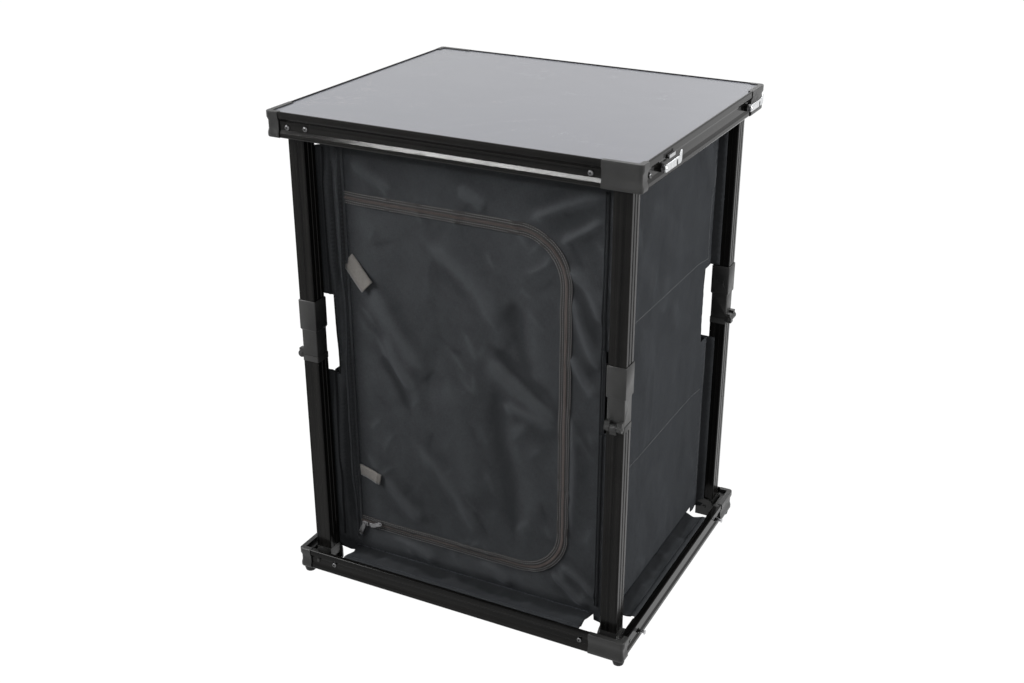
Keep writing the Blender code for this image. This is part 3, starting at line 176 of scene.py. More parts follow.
FINISHES = {}
TREES = {}


class Value:
    """A node's output that takes Python's operators; each one adds a Math node."""

    def __init__(self, graph, socket):
        self.graph = graph
        self.socket = socket

    def math(self, operation, *others):
        return self.graph.math(operation, self, *others)

    def __add__(self, other):
        return self.math("ADD", other)

    def __sub__(self, other):
        return self.math("SUBTRACT", other)

    def __rsub__(self, other):
        return self.graph.math("SUBTRACT", other, self)

    def __mul__(self, other):
        return self.math("MULTIPLY", other)

    __radd__ = __add__
    __rmul__ = __mul__

    def sine(self):
        return self.math("SINE")

    def over(self, other):
        return self.math("GREATER_THAN", other)

    def clamped(self):
        return self.graph.node("ShaderNodeClamp", {0: self})


class Graph:
    """A node tree, for a material or for geometry."""

    def __init__(self, tree):
        self.tree = tree

    def node(self, kind, inputs=None, output=0, **settings):
        """Adds a node: its settings first, then the values or links of its sockets."""
        made = self.tree.nodes.new(kind)
        for name, value in settings.items():
            setattr(made, name, value)
        for key, value in (inputs or {}).items():
            self.feed(self.socket(made.inputs, key), value)
        return Value(self, made.outputs[output])

    def math(self, operation, *values):
        return self.node("ShaderNodeMath", dict(enumerate(values)), operation=operation)

    def feed(self, socket, value):
        if isinstance(value, Value):
            self.tree.links.new(value.socket, socket)
        else:
            socket.default_value = value

    @staticmethod
    def socket(sockets, key):
        if isinstance(key, int):
            return sockets[key]
        named = [s for s in sockets if s.identifier == key]
        named += [s for s in sockets if s.name == key and s.enabled]
        return named[0]

    def seen(self, camera_share=1.0):
        """1 for rays from a reflection or through glass, camera_share for the camera's own rays."""
        camera, glossy, through = (
            self.node("ShaderNodeLightPath", output=f"Is {kind} Ray")
            for kind in ("Camera", "Glossy", "Transmission")
        )
        return (camera * camera_share + glossy + through).clamped()


class Finish(Graph):
    """A Principled material whose colour, roughness and bump come from nodes."""

    def __init__(self, name, colour, **constants):
        self.material = bpy.data.materials.new(name)
        self.material.use_nodes = True
        super().__init__(self.material.node_tree)
        self.shader = self.tree.nodes["Principled BSDF"]
        self.material.diffuse_color = (*colour, 1.0)
        self.colour = colour
        self.set("Base Color", (*colour, 1.0))
        for key, value in constants.items():
            self.set(key.replace("_", " "), value)

    def set(self, name, value):
        socket = next(s for s in self.shader.inputs if s.name.lower() == name.lower())
        self.feed(socket, value)

    def object_coords(self):
        return self.node("ShaderNodeTexCoord", output="Object")

    def axes(self, vector):
        split = self.tree.nodes.new("ShaderNodeSeparateXYZ")
        self.feed(split.inputs[0], vector)
        return [Value(self, out) for out in split.outputs]

    def noise(self, vector, scale, detail=3.0, roughness=0.5, distortion=0.0):
        inputs = {"Vector": vector, "Scale": scale, "Detail": detail, "Roughness": roughness}
        return self.node("ShaderNodeTexNoise", {**inputs, "Distortion": distortion})

    def stretched(self, vector, scale, *noise_values, turn=0.0):
        """Noise of scale 1 on coordinates that are turned and stretched."""
        inputs = {"Vector": vector, "Rotation": (0, 0, turn), "Scale": scale}
        return self.noise(self.node("ShaderNodeMapping", inputs), *noise_values)

    def span(self, value, low, high, to_low=0, to_high=1):
        """From to_low to to_high as the value goes from low to high."""
        inputs = {"Value": value, "From Min": low, "From Max": high}
        inputs |= {"To Min": to_low, "To Max": to_high}
        return self.node("ShaderNodeMapRange", inputs, clamp=True)

    def mixed(self, first, second, factor):
        """Two colours mixed. A colour is a tuple of three numbers or a link."""
        inputs = {"Factor_Float": factor}
        for key, colour in (("A_Color", first), ("B_Color", second)):
            inputs[key] = colour if isinstance(colour, Value) else (*colour, 1.0)
        return self.node("ShaderNodeMix", inputs, 2, data_type="RGBA")

    def shaded(self, factor, low, high):
        """The finish's own colour, from low to high times itself as factor goes from 0 to 1."""
        dark, light = (tuple(c * share for c in self.colour) for share in (low, high))
        return self.mixed(dark, light, factor)

    def bumped(self, height, distance, strength):
        inputs = {"Height": height, "Distance": distance, "Strength": strength}
        self.set("Normal", self.node("ShaderNodeBump", inputs))


def metal_finish(name, colour, roughness, along, pins=False):
    """Anodised extrusion: die lines along its length, soft blotches and lighter rubbed places."""
    metallic = 0.1
    finish = Finish(name, colour, metallic=metallic, specular_ior_level=0.095)
    coords = finish.object_coords()
    lines_scale, bands_scale = (
        tuple(coarse if axis == along else fine for axis in "XYZ")
        for coarse, fine in ((6.0, 900.0), (1.5, 170.0))
    )
    lines = finish.stretched(coords, lines_scale, 1.0, 2.0)
    bands = finish.stretched(coords, bands_scale, 1.0, 1.0)
    blotch = finish.noise(coords, 26.0, 4.0, 0.6)
    dust = finish.noise(coords, 420.0, 2.0, 0.7)
    tone = finish.span(bands + blotch * 0.3 + lines * 0.3, 0.60, 1.0)
    body = finish.shaded(tone, 0.55, 2.4)
    if pins:
        # The latch pins, which stand out from the rail's face, are bare steel
        bare = finish.axes(coords)[0].over(RAIL_PIN_X)
        body = finish.mixed(body, BARE_STEEL, bare)
        finish.set("Metallic", bare * (0.95 - metallic) + metallic)
    finish.set("Base Color", body)
    rough = finish.span(blotch, 0.3, 0.7, roughness - 0.012, roughness + 0.022)
    finish.set("Roughness", rough + (lines - 0.5) * 0.05 + (dust - 0.5) * 0.03)
    finish.bumped(lines * 0.7 + dust * 0.3, 0.00003, 0.3)
    return finish.material


def moulded_finish(name, colour, roughness, grain=900.0, depth=0.00012):
    """Injection-moulded nylon or rubber with a fine spark-eroded grain."""
    finish = Finish(name, colour, specular_ior_level=0.25)
    coords = finish.object_coords()
    cells = finish.node("ShaderNodeTexVoronoi", {"Vector": coords, "Scale": grain}, feature="F1")
    cloud = finish.noise(coords, 40.0, 4.0, 0.6)
    finish.set("Base Color", finish.shaded(finish.span(cloud, 0.3, 0.7), 0.82, 1.2))
    finish.set("Roughness", finish.span(cloud, 0.3, 0.7, roughness - 0.05, roughness + 0.08))
    finish.bumped(cells + cloud * 0.4, depth, 0.6)
    return finish.material


def steel_finish(name, colour, roughness):
    """Zinc-plated steel with faint brushing and handling marks."""
    finish = Finish(name, colour, metallic=1.0)
    coords = finish.object_coords()
    brushed = finish.stretched(coords, (300.0, 300.0, 2600.0), 1.0, 2.0)
    marks = finish.noise(coords, 130.0, 5.0, 0.7)
    finish.set("Base Color", finish.shaded(finish.span(marks, 0.35, 0.65), 0.78, 1.05))
    finish.set("Roughness", finish.span(marks, 0.3, 0.7, roughness - 0.06, roughness + 0.14))
    finish.bumped(brushed, 0.00003, 0.4)
    return finish.material


def worktop_finish(name, colour):
    """Satin laminate: very fine grain, wiped smudges and a few faint rubbed streaks."""
    finish = Finish(name, colour, specular_ior_level=0.5, coat_roughness=0.16)
    coords = finish.object_coords()
    smudge = finish.stretched(coords, (5.0, 7.0, 5.0), 1.0, 5.0, 0.62, 0.6)
    wiped = finish.stretched(coords, (14.0, 9.0, 10.0), 1.0, 5.0, 0.6, 1.2)
    grain = finish.noise(coords, 1500.0, 2.0)
    finish.set("Base Color", finish.shaded(finish.span(smudge, 0.3, 0.7), 0.97, 1.03))
    rough = finish.span(smudge, 0.35, 0.7, 0.252, 0.268) + finish.span(wiped, 0.50, 0.85, 0, 0.012)
    finish.set("Roughness", rough + (grain - 0.5) * 0.05)
    finish.set("Coat Weight", finish.span(wiped, 0.35, 0.75, 0.205, 0.195))
    finish.bumped(grain, 0.00002, 0.25)
    return finish.material


def weave_finish(name, colour, pitch=0.00062, sheen=0.08, mottle=1.0, depth=0.00022):
    """Coated oxford cloth: warp over weft in pairs, slubs, painted shade that darkens fold valleys
    and lightens fold crests, and a soft sheen.
    """
    finish = Finish(name, colour, sheen_weight=sheen, sheen_roughness=0.4, specular_ior_level=0.0)
    finish.set("Sheen Tint", (0.80, 0.88, 1.0, 1.0))
    uv = finish.node("ShaderNodeUVMap", uv_map="cloth")
    u, v, _ = finish.axes(uv)
    turn = 2 * math.pi / pitch
    weave = (u * turn).sine() * (v * turn).sine() * 0.5 + 0.5
    slub = finish.stretched(uv, (900.0, 110.0, 1.0), 1.0, 3.0, 0.7)
    slub_up = finish.stretched(uv, (110.0, 900.0, 1.0), 1.0, 3.0, 0.7)
    threads = weave * 0.3 + (slub + slub_up) * 0.35
    cloud = finish.noise(uv, 9.0, 5.0, 0.6)
    rubbed = finish.noise(uv, 55.0, 6.0, 0.7, 0.4)
    # Painted shade: the base colour is darkened in fold valleys and lightened on fold crests
    crest = finish.node("ShaderNodeAttribute", output="Fac", attribute_name="crest")
    tone = threads * 0.8 + cloud * 0.2 * mottle + rubbed * 0.12 * mottle + crest * 0.17
    finish.set("Base Color", finish.shaded(finish.span(tone, 0.38, 0.78), 0.66, 1.38))
    finish.set("Roughness", finish.span(rubbed, 0.3, 0.7, 0.70, 0.86))
    crumple = finish.stretched(uv, (1.0, 0.45, 1.0), 34.0, 4.0, 0.5, 0.5, turn=0.6)
    drape = finish.stretched(uv, (1.0, 0.5, 1.0), 11.0, 2.0, 0.4, 0.8)
    height = threads * depth + crumple * (0.0015 * mottle) + drape * (0.0080 * mottle)
    finish.bumped(height, 1.0, 0.9)
    return finish.material


def thread_finish(name, colour):
    """Twisted sewing thread."""
    finish = Finish(name, colour, sheen_weight=0.3, specular_ior_level=0.4)
    twist = finish.stretched(finish.object_coords(), (3000.0, 3000.0, 3000.0), 1.0, 1.0)
    finish.set("Base Color", finish.shaded(twist, 0.75, 1.3))
    finish.set("Roughness", finish.span(twist, 0.3, 0.7, 0.6, 0.8))
    finish.bumped(twist, 0.00008, 0.5)
    return finish.material


def make_finishes(look):
    """Every finish of the cabinet, from the colours in the settings."""
    frame_colour, cloth_colour = tuple(look.frame_colour), tuple(look.cloth_colour)
    # The skirt is the same cloth, its colour darkened as painted shade on the strips that face up
    shaded_skirt_colour, binding_and_gap_shade_colour = (tuple(c * k for c in cloth_colour) for k in (0.70, 0.55))
    for along in "XY":
        name = "anodised_rail_" + along.lower()
        FINISHES["rail_" + along] = metal_finish(name, frame_colour, 0.11, along, along == "Y")
    FINISHES.update(
        tube=metal_finish("anodised_tube", frame_colour, 0.18, "Z"),
        moulding=moulded_finish("grained_nylon", tuple(look.moulding_colour), 0.36),
        rubber=moulded_finish("rubber_foot", (0.018, 0.018, 0.018), 0.7, 500.0, 0.0002),
        bright=steel_finish("bright_steel", (0.62, 0.63, 0.64), 0.2),
        dark_screw=steel_finish("plated_screw", (0.13, 0.13, 0.132), 0.22),
        zip=steel_finish("zip_metal", (0.20, 0.20, 0.205), 0.3),
        worktop=worktop_finish("grey_laminate", tuple(look.worktop_colour)),
        cloth=weave_finish("charcoal_oxford", cloth_colour),
        skirt=weave_finish("skirt_oxford", shaded_skirt_colour),
        # The binding is dark cloth, darkened further as painted shade of the gap between the cloth
        # and the legs
        binding=weave_finish("dark_binding", binding_and_gap_shade_colour, 0.0009, 0.03, 0.6),
        tape=weave_finish("zip_tape", (0.050, 0.0485, 0.048), 0.0008, 0.08, 0.6),
        webbing=weave_finish("grey_webbing", (0.192, 0.182, 0.170), 0.0014, 0.15, 0.7, 0.0004),
        teeth=thread_finish("coil_teeth", (0.070, 0.050, 0.044)),
        thread=thread_finish("grey_thread", (0.200, 0.200, 0.205)),
        board=moulded_finish("shelf_board", (0.045, 0.046, 0.048), 0.65, 700.0),
    )


def polyline(points, step=0.003):
    """The points of a broken line, spaced no further apart than step."""
    points = np.asarray(points, float)
    made = [points[:1]]
    for first, second in zip(points, points[1:]):
        count = max(1, int(math.ceil(np.linalg.norm(second - first) / step)))
        share = np.arange(1, count + 1)[:, None] / count
        made.append(first + (second - first) * share)
    return np.concatenate(made)


def smooth_line(points, step):
    """A smooth curve through the points, spaced about step apart."""
    points = np.asarray(points, float)
    padded = np.vstack([2 * points[0] - points[1], points, 2 * points[-1] - points[-2]])
    made = []
    for k in range(1, len(padded) - 2):
        a, b, c, d = padded[k - 1 : k + 3]
        count = max(2, int(math.ceil(np.linalg.norm(c - b) / step)))
        t = (np.arange(count) / count)[:, None]
        bend, twist = 2 * a - 5 * b + 4 * c - d, 3 * b - a - 3 * c + d
        made.append(0.5 * (2 * b + (c - a) * t + bend * t**2 + twist * t**3))
    made.append(points[-1:])
    return np.concatenate(made)


def inside(points, loop):
    """Which points lie inside a closed loop."""
    x, y = points[:, 0], points[:, 1]
    result = np.zeros(len(points), bool)
    for (x0, y0), (x1, y1) in zip(loop, np.roll(loop, -1, axis=0)):
        if y0 == y1:
            continue
        crosses = (y0 > y) != (y1 > y)
        result ^= crosses & (x < (x1 - x0) * (y - y0) / (y1 - y0) + x0)
    return result


def within(points, loops):
    """Which points lie inside the first loop and outside the others."""
    kept = inside(points, loops[0])
    for hole in loops[1:]:
        kept &= ~inside(points, hole)
    return kept


def distance_to(points, line):
    """Each point's distance to a broken line, its side, and its share of the line's length."""
    best = np.full(len(points), 1e9)
    side = np.zeros(len(points))
    along = np.zeros(len(points))
    lengths = np.linalg.norm(np.diff(line, axis=0), axis=1)
    total, done = lengths.sum(), 0.0
    for start, end, length in zip(line, line[1:], lengths):
        direction = (end - start) / length
        offset = points - start
        t = np.clip(offset @ direction, 0, length)
        apart = offset - t[:, None] * direction
        gap = np.linalg.norm(apart, axis=1)
        nearer = gap < best
        best[nearer] = gap[nearer]
        cross = direction[0] * offset[:, 1] - direction[1] * offset[:, 0]
        side[nearer] = np.sign(cross[nearer])
        along[nearer] = (done + t[nearer]) / total
        done += length
    return best, side, along


def crease(points, line, height, left, right, taper=0.22):
    """One fold along a line: steep on one side, soft on the other, dying out at its ends."""
    gap, side, along = distance_to(points, smooth_line(line, 0.012))
    width = np.where(side > 0, left, right)
    ends = np.clip(np.minimum(along, 1 - along) / taper, 0.0, 1.0)
    ends = 0.12 + 0.88 * ends * ends * (3 - 2 * ends)
    across = np.exp(-((gap / (CREASE_WIDTH * width)) ** CREASE_SHARPNESS))
    return CREASE_GAIN * height * across * ends


def cloud_of(points, scale, seed):
    """Smooth noise between -1 and 1 at each point."""
    return np.array([noise.noise(Vector((x * scale, z * scale, seed))) for x, z in points])


def faded(value, low, high):
    """Nought below low, one above high, smooth between."""
    share = np.clip((value - low) / (high - low), 0, 1)
    return share * share * (3 - 2 * share)


def window(value, low, low_full, high_full, high):
    """One between the two full values, nought outside low and high, smooth between."""
    return faded(value, low, low_full) * faded(-value, -high, -high_full)


def bump(value, centre, width, power=2):
    """One at the centre, dying out beyond the width."""
    return np.exp(-(((value - centre) / width) ** power))


# Folds in millimetres: height, width on the left, width on the right, then the line's points
FRONT_FOLDS = (
    (4.6, 9, 17, -164, 532, -124, 464, -75, 405), (3.6, 7, 13, -137, 461, -123, 412, -91, 367),
    (-2.6, 9, 8, -154, 417, -122, 372, -102, 323), (2.6, 22, 12, -68, 622, 11, 567, 61, 501),
    (-3.4, 12, 17, 83, 554, 94, 481, 111, 430), (4.8, 8, 18, 38, 452, 95, 412, 159, 368),
    (-2.6, 9, 8, 48, 470, 100, 431, 150, 395), (2.4, 8, 12, 60, 378, 106, 372, 160, 356),
    (-4.0, 13, 20, 52, 405, 60, 315, 77, 248, 83, 139), (3.2, 30, 34, -33, 409, -11, 297, 11, 181),
    (3.2, 9, 14, -162, 197, -84, 122), (2.2, 12, 14, -98, 275, -25, 202, 16, 125),
    (2.2, 8, 10, -201, 727, -120, 692), (3.0, 9, 11, -9, 714, 40, 689),
    (2.8, 8, 10, 105, 681, 162, 710, 222, 734), (3.2, 6, 8, 157, 655, 188, 675, 223, 700),
    (3.2, 9, 8, 166, 619, 200, 597, 228, 540), (3.4, 8, 9, 177, 582, 197, 524, 225, 466),
    (3.2, 8, 9, 174, 487, 193, 459, 221, 421), (3.4, 7, 8, 143, 100, 179, 79, 214, 46),
    (2.8, 6, 8, 163, 119, 196, 103, 231, 73), (2.0, 8, 12, 178, 400, 186, 300, 182, 180),
    (2.2, 10, 12, 20, 92, 60, 62, 80, 46), (2.2, 10, 12, -150, 88, -90, 66, -60, 46),
    (3.0, 5, 5, -240, 721, -238, 621, -236, 516), (3.4, 4, 5, -222, 724, -219, 624, -216, 508),
    (-2.4, 4, 4, -230, 730, -229, 620, -227, 512), (3.2, 5, 5, -234, 400, -234, 304, -242, 176),
    (3.4, 4, 4, -219, 450, -216, 369, -217, 247, -214, 120),
    (-2.6, 4, 5, -226, 360, -226, 250, -224, 70), (2.6, 4, 5, -246, 350, -248, 220, -246, 80),
)

SIDE_FOLDS = (
    (2.6, 14, 22, -94, 697, 0, 628, 92, 564), (2.4, 16, 24, -106, 508, -61, 405, -75, 282),
    (2.0, 12, 16, -125, 631, -90, 590, -51, 552), (2.4, 18, 22, 62, 413, 80, 320, 95, 237),
    (1.8, 12, 14, -10, 560, -22, 492), (2.6, 18, 24, -60, 240, 0, 160, 40, 70),
    (2.0, 14, 18, 20, 500, 60, 455, 120, 430), (2.4, 10, 14, 120, 250, 140, 170, 180, 110),
    (2.6, 9, 12, 140, 740, 170, 690, 196, 640), (2.4, 9, 12, -170, 740, -150, 680, -120, 640),
    (2.2, 10, 14, -180, 330, -150, 240, -160, 120), (2.8, 8, 10, 150, 90, 175, 70, 196, 50),
    (2.4, 10, 12, -100, 84, -70, 64, -50, 46),
)


def small_creases(count, low, high, seed):
    """Short random creases over a wall, mostly running down to the right, in metres."""
    chance = np.random.RandomState(seed)
    made = []
    for _ in range(count):
        middle = chance.uniform(low, high)
        angle = chance.choice([-0.95, -0.95, -1.35, 0.75]) + chance.normal(0, 0.25)
        half = chance.uniform(0.014, 0.038)
        reach = np.array([math.cos(angle), math.sin(angle)]) * half
        bow = np.array([-reach[1], reach[0]]) * chance.uniform(-0.25, 0.25)
        height = chance.uniform(0.40, 1.0) * chance.choice([1, 1, -0.7])
        line = (middle - reach, middle + bow, middle + reach)
        made.append((line, height / 1000.0, *chance.uniform(0.0035, 0.008, 2)))
    return made


FRONT_CREASES = small_creases(84, (-0.20, 0.06), (0.225, 0.74), 11)


def fold_relief(points, folds):
    """How far a table's folds stand out at each point."""
    made = np.zeros(len(points))
    for height, left, right, *line in folds:
        line = np.array(line).reshape(-1, 2) / 1000.0
        made += crease(points, line, height / 1000.0, left / 1000.0, right / 1000.0)
    return made


def front_relief(points):
    """How far the front cloth, wall and door alike, stands out at each (x, z)."""
    x, z = points[:, 0], points[:, 1]
    made = fold_relief(points, FRONT_FOLDS)
    for line, height, left, right in FRONT_CREASES:
        made += crease(points, line, height, left, right, 0.4)
    made += 0.0011 * cloud_of(points, 14.0, 3.1) + 0.0006 * cloud_of(points, 38.0, 7.7)
    made += 0.0003 * cloud_of(points @ np.array([[0.8, -0.4], [0.6, 0.5]]), 85.0, 9.9)
    belly = window(x, DOOR_LEFT, -0.10, 0.03, 0.165) * window(z, 0.10, 0.25, 0.5, 0.66)
    made += 0.0022 * belly
    gather = faded(-x, 0.213, 0.222) * 0.0011
    made += gather * np.sin(x * 640 + 5 * cloud_of(points * np.array([1.0, 0.35]), 9.0, 1.3))
    held = window(z, WALL_LOW, WALL_LOW + 0.02, WALL_HIGH - 0.035, WALL_HIGH)
    seam = bump(x, DOOR_LEFT - 0.001, 0.004) * window(z, 0.08, 0.12, 0.70, 0.735)
    run = bump(z, 0.0905, 0.011) * window(x, -0.222, -0.212, 0.105, 0.125)
    made = FRONT_DEPTH + FRONT_DEPTH * np.tanh((made - 0.0018) / 0.0057)
    swing = faded(x, DOOR_LEFT, -0.168) ** 0.7 + faded(-x, -DOOR_LEFT, 0.2175)
    return made * held * (1 - 0.8 * seam) * (1 - run) * (0.04 + 0.96 * np.clip(swing, 0, 1))


def side_relief(points, collar, mirrored=False):
    """How far a side or the back wall stands out at each (along, z).

    It is taut at the shelf seams and slack between them. The folded leg's collar lies close to the
    wall round one place along it, and the folded boards below mid height, so the cloth stays clear.
    """
    folds = points * np.array([-1.0 if mirrored else 1.0, 1.0])
    x, z = folds[:, 0], folds[:, 1]
    made = fold_relief(folds, SIDE_FOLDS)
    made += 0.0010 * cloud_of(folds, 12.0, 13.1) + 0.0004 * cloud_of(folds, 36.0, 17.7)
    edge = bump(np.abs(x), 0.19, 0.012)
    made += edge * 0.0008 * np.sin(z * 420 + 4 * cloud_of(folds, 7.0, 2.2))
    held = window(z, WALL_LOW, WALL_LOW + 0.02, WALL_HIGH - 0.03, WALL_HIGH)
    most = 0.0022 - 0.0016 * bump(points[:, 0], collar, 0.034, 6)
    least = -0.0002 - 0.0014 * faded(z, 0.37, 0.42)
    made = (most + least) / 2 + (most - least) / 2 * np.tanh((made - 0.0008) / 0.0015)
    sag = 0.006 * faded(x, 0.14, 0.2)
    for height in SHELVES:
        made *= 1 - 0.9 * bump(z, height + SHELF_SEAM_RISE - sag, 0.0045)
    return made * held


def wall_end(edge, inwards, knee_low, knee_high, top, foot):
    """One upright end of a wall, foot to top, cut away beside the knee and at both corners."""
    high = WALL_HIGH - 0.055
    return [
        (foot, WALL_LOW),
        (foot - inwards * 0.001, 0.0290),
        (foot - inwards * 0.014, 0.0265),
        (edge + inwards * 0.006, 0.0290),
        (edge, 0.036),
        (edge, 0.368),
        (knee_low, 0.3685),
        (knee_high, 0.5025),
        (edge, 0.503),
        (edge, high),
        ((edge + top) / 2, high + 0.003),
        (top, high + 0.016),
        (top, WALL_HIGH),
    ]


def wall_outline(low, high):
    """A wall's cut from its two ends, each (edge, knee opening's low and high side, top, foot)."""
    left = wall_end(low[0], 1, *low[1:])
    right = wall_end(high[0], -1, *high[1:])
    return right + left[::-1]


def door_path(grow):
    """The zip's line round three sides of the door, moved outwards by grow, from top to foot."""
    radius = DOOR_RADIUS + grow
    right, low, high = DOOR_RIGHT + grow, DOOR_LOW - grow, DOOR_HIGH + grow
    points = [(DOOR_LEFT, high)]
    for centre_z, start in ((high - radius, 90), (low + radius, 0)):
        for k in range(19):
            a = math.radians(start - 5 * k)
            points.append((right - radius + radius * math.cos(a), centre_z + radius * math.sin(a)))
    points.append((DOOR_LEFT, low))
    return np.array(points)


def link(obj):
    """Puts an object into the scene."""
    bpy.context.scene.collection.objects.link(obj)
    return obj


def mesh_object(mesh, finish):
    """A mesh as an object of the same name, smooth and in one finish."""
    mesh.materials.append(FINISHES[finish])
    mesh.shade_smooth()
    return link(bpy.data.objects.new(mesh.name, mesh))


def new_mesh(name, points, faces, uv):
    """A mesh with a place in the flat cut, in metres, for each of its points."""
    mesh = bpy.data.meshes.new(name)
    mesh.from_pydata(points.tolist(), [], faces)
    layer = mesh.uv_layers.new(name="cloth")
    corners = np.empty(len(mesh.loops), np.int32)
    mesh.loops.foreach_get("vertex_index", corners)
    layer.data.foreach_set("uv", uv[corners].astype(np.float32).ravel())
    mesh.update()
    return mesh


def mesh_from(bm, name):
    """Turns a finished bmesh into a mesh."""
    mesh = bpy.data.meshes.new(name)
    bm.to_mesh(mesh)
    bm.free()
    return mesh


def lofted(name, rings):
    """A closed solid through rings of points."""
    bm = bmesh.new()
    rows = [[bm.verts.new(point) for point in ring] for ring in rings]
    for first, second in zip(rows, rows[1:]):
        for k in range(len(first)):
            after = (k + 1) % len(first)
            bm.faces.new((first[k], first[after], second[after], second[k]))
    bm.faces.new(rows[0][::-1])
    bm.faces.new(rows[-1])
    bmesh.ops.recalc_face_normals(bm, faces=bm.faces)
    return mesh_from(bm, name)


def crest_of(height, faces, full, rounds=34):
    """How far each point stands above (1) or below (-1) the cloth round it; full counts as 1."""
    pairs = np.concatenate([faces[:, [0, 1]], faces[:, [1, 2]], faces[:, [2, 0]]])
    first, second = np.concatenate([pairs, pairs[:, ::-1]]).T
    count = np.maximum(np.bincount(first, minlength=len(height)), 1)
    level = height.copy()
    for _ in range(rounds):
        level = np.bincount(first, weights=level[second], minlength=len(height)) / count
    return np.clip((height - level) / full, -1, 1)


def sheet_mesh(name, outline, holes, place, cell=CELL, full_crest=FRONT_CREST):
    """A sheet cut to an outline, meshed in small triangles and put in place, its flat cut as UV."""
    cuts = [np.asarray(outline), *holes]
    loops = [polyline(np.vstack([loop, loop[:1]]), cell)[:-1] for loop in cuts]
    low, high = loops[0].min(axis=0), loops[0].max(axis=0)
    rise = cell * math.sqrt(0.75)
    columns = int((high[0] - low[0]) / cell) + 2
    rows = int((high[1] - low[1]) / rise) + 2
    grid_x, grid_z = np.meshgrid(np.arange(columns), np.arange(rows))
    lattice_x = low[0] + (grid_x + 0.5 * (grid_z % 2)) * cell
    lattice = np.stack([lattice_x, low[1] + grid_z * rise], axis=-1).reshape(-1, 2)
    lattice = lattice[within(lattice, loops)]
    for loop in loops:
        near = np.full(len(lattice), 1e9)
        for point in loop:
            near = np.minimum(near, np.abs(lattice - point).max(axis=1))
        lattice = lattice[near > 0.55 * cell]
    edges, first = [], 0
    for loop in loops:
        count = len(loop)
        edges += [(first + k, first + (k + 1) % count) for k in range(count)]
        first += count
    flat = [Vector(point) for point in np.concatenate([*loops, lattice])]
    made_points, _, faces, *_ = delaunay_2d_cdt(flat, edges, [], 0, 1e-7, False)
    cut, faces = np.array(made_points), np.array(faces)
    faces = faces[within(cut[faces].mean(axis=1), loops)]
    co, outward = place(cut)
    outward = np.asarray(outward, float)
    first, second, third = co[faces].transpose(1, 0, 2)
    if np.cross(second - first, third - first).sum(axis=0) @ outward < 0:
        faces = faces[:, ::-1]
    mesh = new_mesh(name, co, faces.tolist(), cut)
    # Each point's height above or below the cloth round it, stored for painted shade: the cloth
    # finish darkens fold valleys and lightens fold crests with it
    height = co @ outward / np.linalg.norm(outward)
    crest = mesh.attributes.new("crest", "FLOAT", "POINT")
    crest.data.foreach_set("value", crest_of(height, faces, full_crest).astype(np.float32))
    return mesh


def thicken(obj, thickness=SHEET_THICKNESS, offset=-1.0):
    """Gives a sheet its thickness: inwards from its outer face, or to both sides with offset 0."""
    solid = obj.modifiers.new("thickness", "SOLIDIFY")
    solid.thickness = thickness
    solid.offset = offset
    return obj


def run_along(path):
    """How far along a line each of its points is."""
    return np.concatenate([[0], np.cumsum(np.linalg.norm(np.diff(path, axis=0), axis=1))])


def directions(path):
    """A line's direction at each point, and the one across it on a front or back wall."""
    tangent = np.gradient(path, axis=0)
    tangent /= np.linalg.norm(tangent, axis=1)[:, None]
    across = np.cross(tangent, (0, -1, 0))
    across /= np.linalg.norm(across, axis=1)[:, None]
    return tangent, across


def ribbon_mesh(name, centre, across, half, rise=(0, 0, 0)):
    """A flat strip, half its half width, along a line of places; rise lifts its middle."""
    count = len(centre)
    columns = np.linspace(-1, 1, 5)
    rise = np.asarray(rise)
    co = np.concatenate([centre + across * half * c + rise * (1 - c * c) for c in columns])
    starts = [column * count + k for column in range(4) for k in range(count - 1)]
    faces = [(a, a + 1, a + count + 1, a + count) for a in starts]
    along = run_along(centre)
    uv = np.concatenate([np.stack([along, np.full(count, c * half)], axis=1) for c in columns])
    return new_mesh(name, co, faces, uv)


def front_place(points, lift=0.0):
    """Places (x, z) points on the front cloth's surface, lift proud of it."""
    relief = front_relief(points) + lift
    return np.stack([points[:, 0], FRONT_Y - relief, points[:, 1]], axis=1)


def side_place(points, side, lift=0.0):
    """Places (y, z) points on a side wall: side is 1 on the right and -1 on the left."""
    relief = side_relief(points, side * SIDE_COLLAR, mirrored=side < 0) + lift
    return np.stack([side * (SIDE_X + relief), points[:, 0], points[:, 1]], axis=1)


def back_place(points, lift=0.0):
    """Places (x, z) points on the back wall."""
    relief = side_relief(points, BACK_COLLAR, mirrored=True) + lift
    return np.stack([points[:, 0], BACK_Y + relief, points[:, 1]], axis=1)


def on_front(cut):
    """Where the points of a cut go, and the way the cloth faces; on_back and on_side are alike."""
    return front_place(cut), (0, -1, 0)


def on_back(cut):
    return back_place(cut), (0, 1, 0)


def on_side(side):
    return lambda cut: (side_place(cut, side), (side, 0, 0))


def finish_piece(obj, body, squash=True):
    """Puts a piece on its body and, with squash, gives it a mesh of its own."""
    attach(obj, body)
    if squash:
        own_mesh(obj)
    return obj


def line_mesh(name, lines):
    """Broken lines as a mesh of edges, for a Geometry Nodes tree to follow."""
    points, edges = [], []
    for line in lines:
        first = len(points)
        points += [tuple(p) for p in line]
        edges += [(first + k, first + k + 1) for k in range(len(line) - 1)]
    mesh = bpy.data.meshes.new(name)
    mesh.from_pydata(points, edges, [])
    return mesh


def geometry_tree(name, inputs):
    """An empty Geometry Nodes tree: its graph, and its named inputs as values."""
    tree = bpy.data.node_groups.new(name, "GeometryNodeTree")
    tree.interface.new_socket("Geometry", in_out="OUTPUT", socket_type="NodeSocketGeometry")
    tree.interface.new_socket("Geometry", in_out="INPUT", socket_type="NodeSocketGeometry")
    for label, kind, default in inputs:
        socket = tree.interface.new_socket(label, in_out="INPUT", socket_type=kind)
        if default is not None:
            socket.default_value = default
    graph = Graph(tree)
    entry = tree.nodes.new("NodeGroupInput")
    return graph, {out.name: Value(graph, out) for out in entry.outputs if out.name}


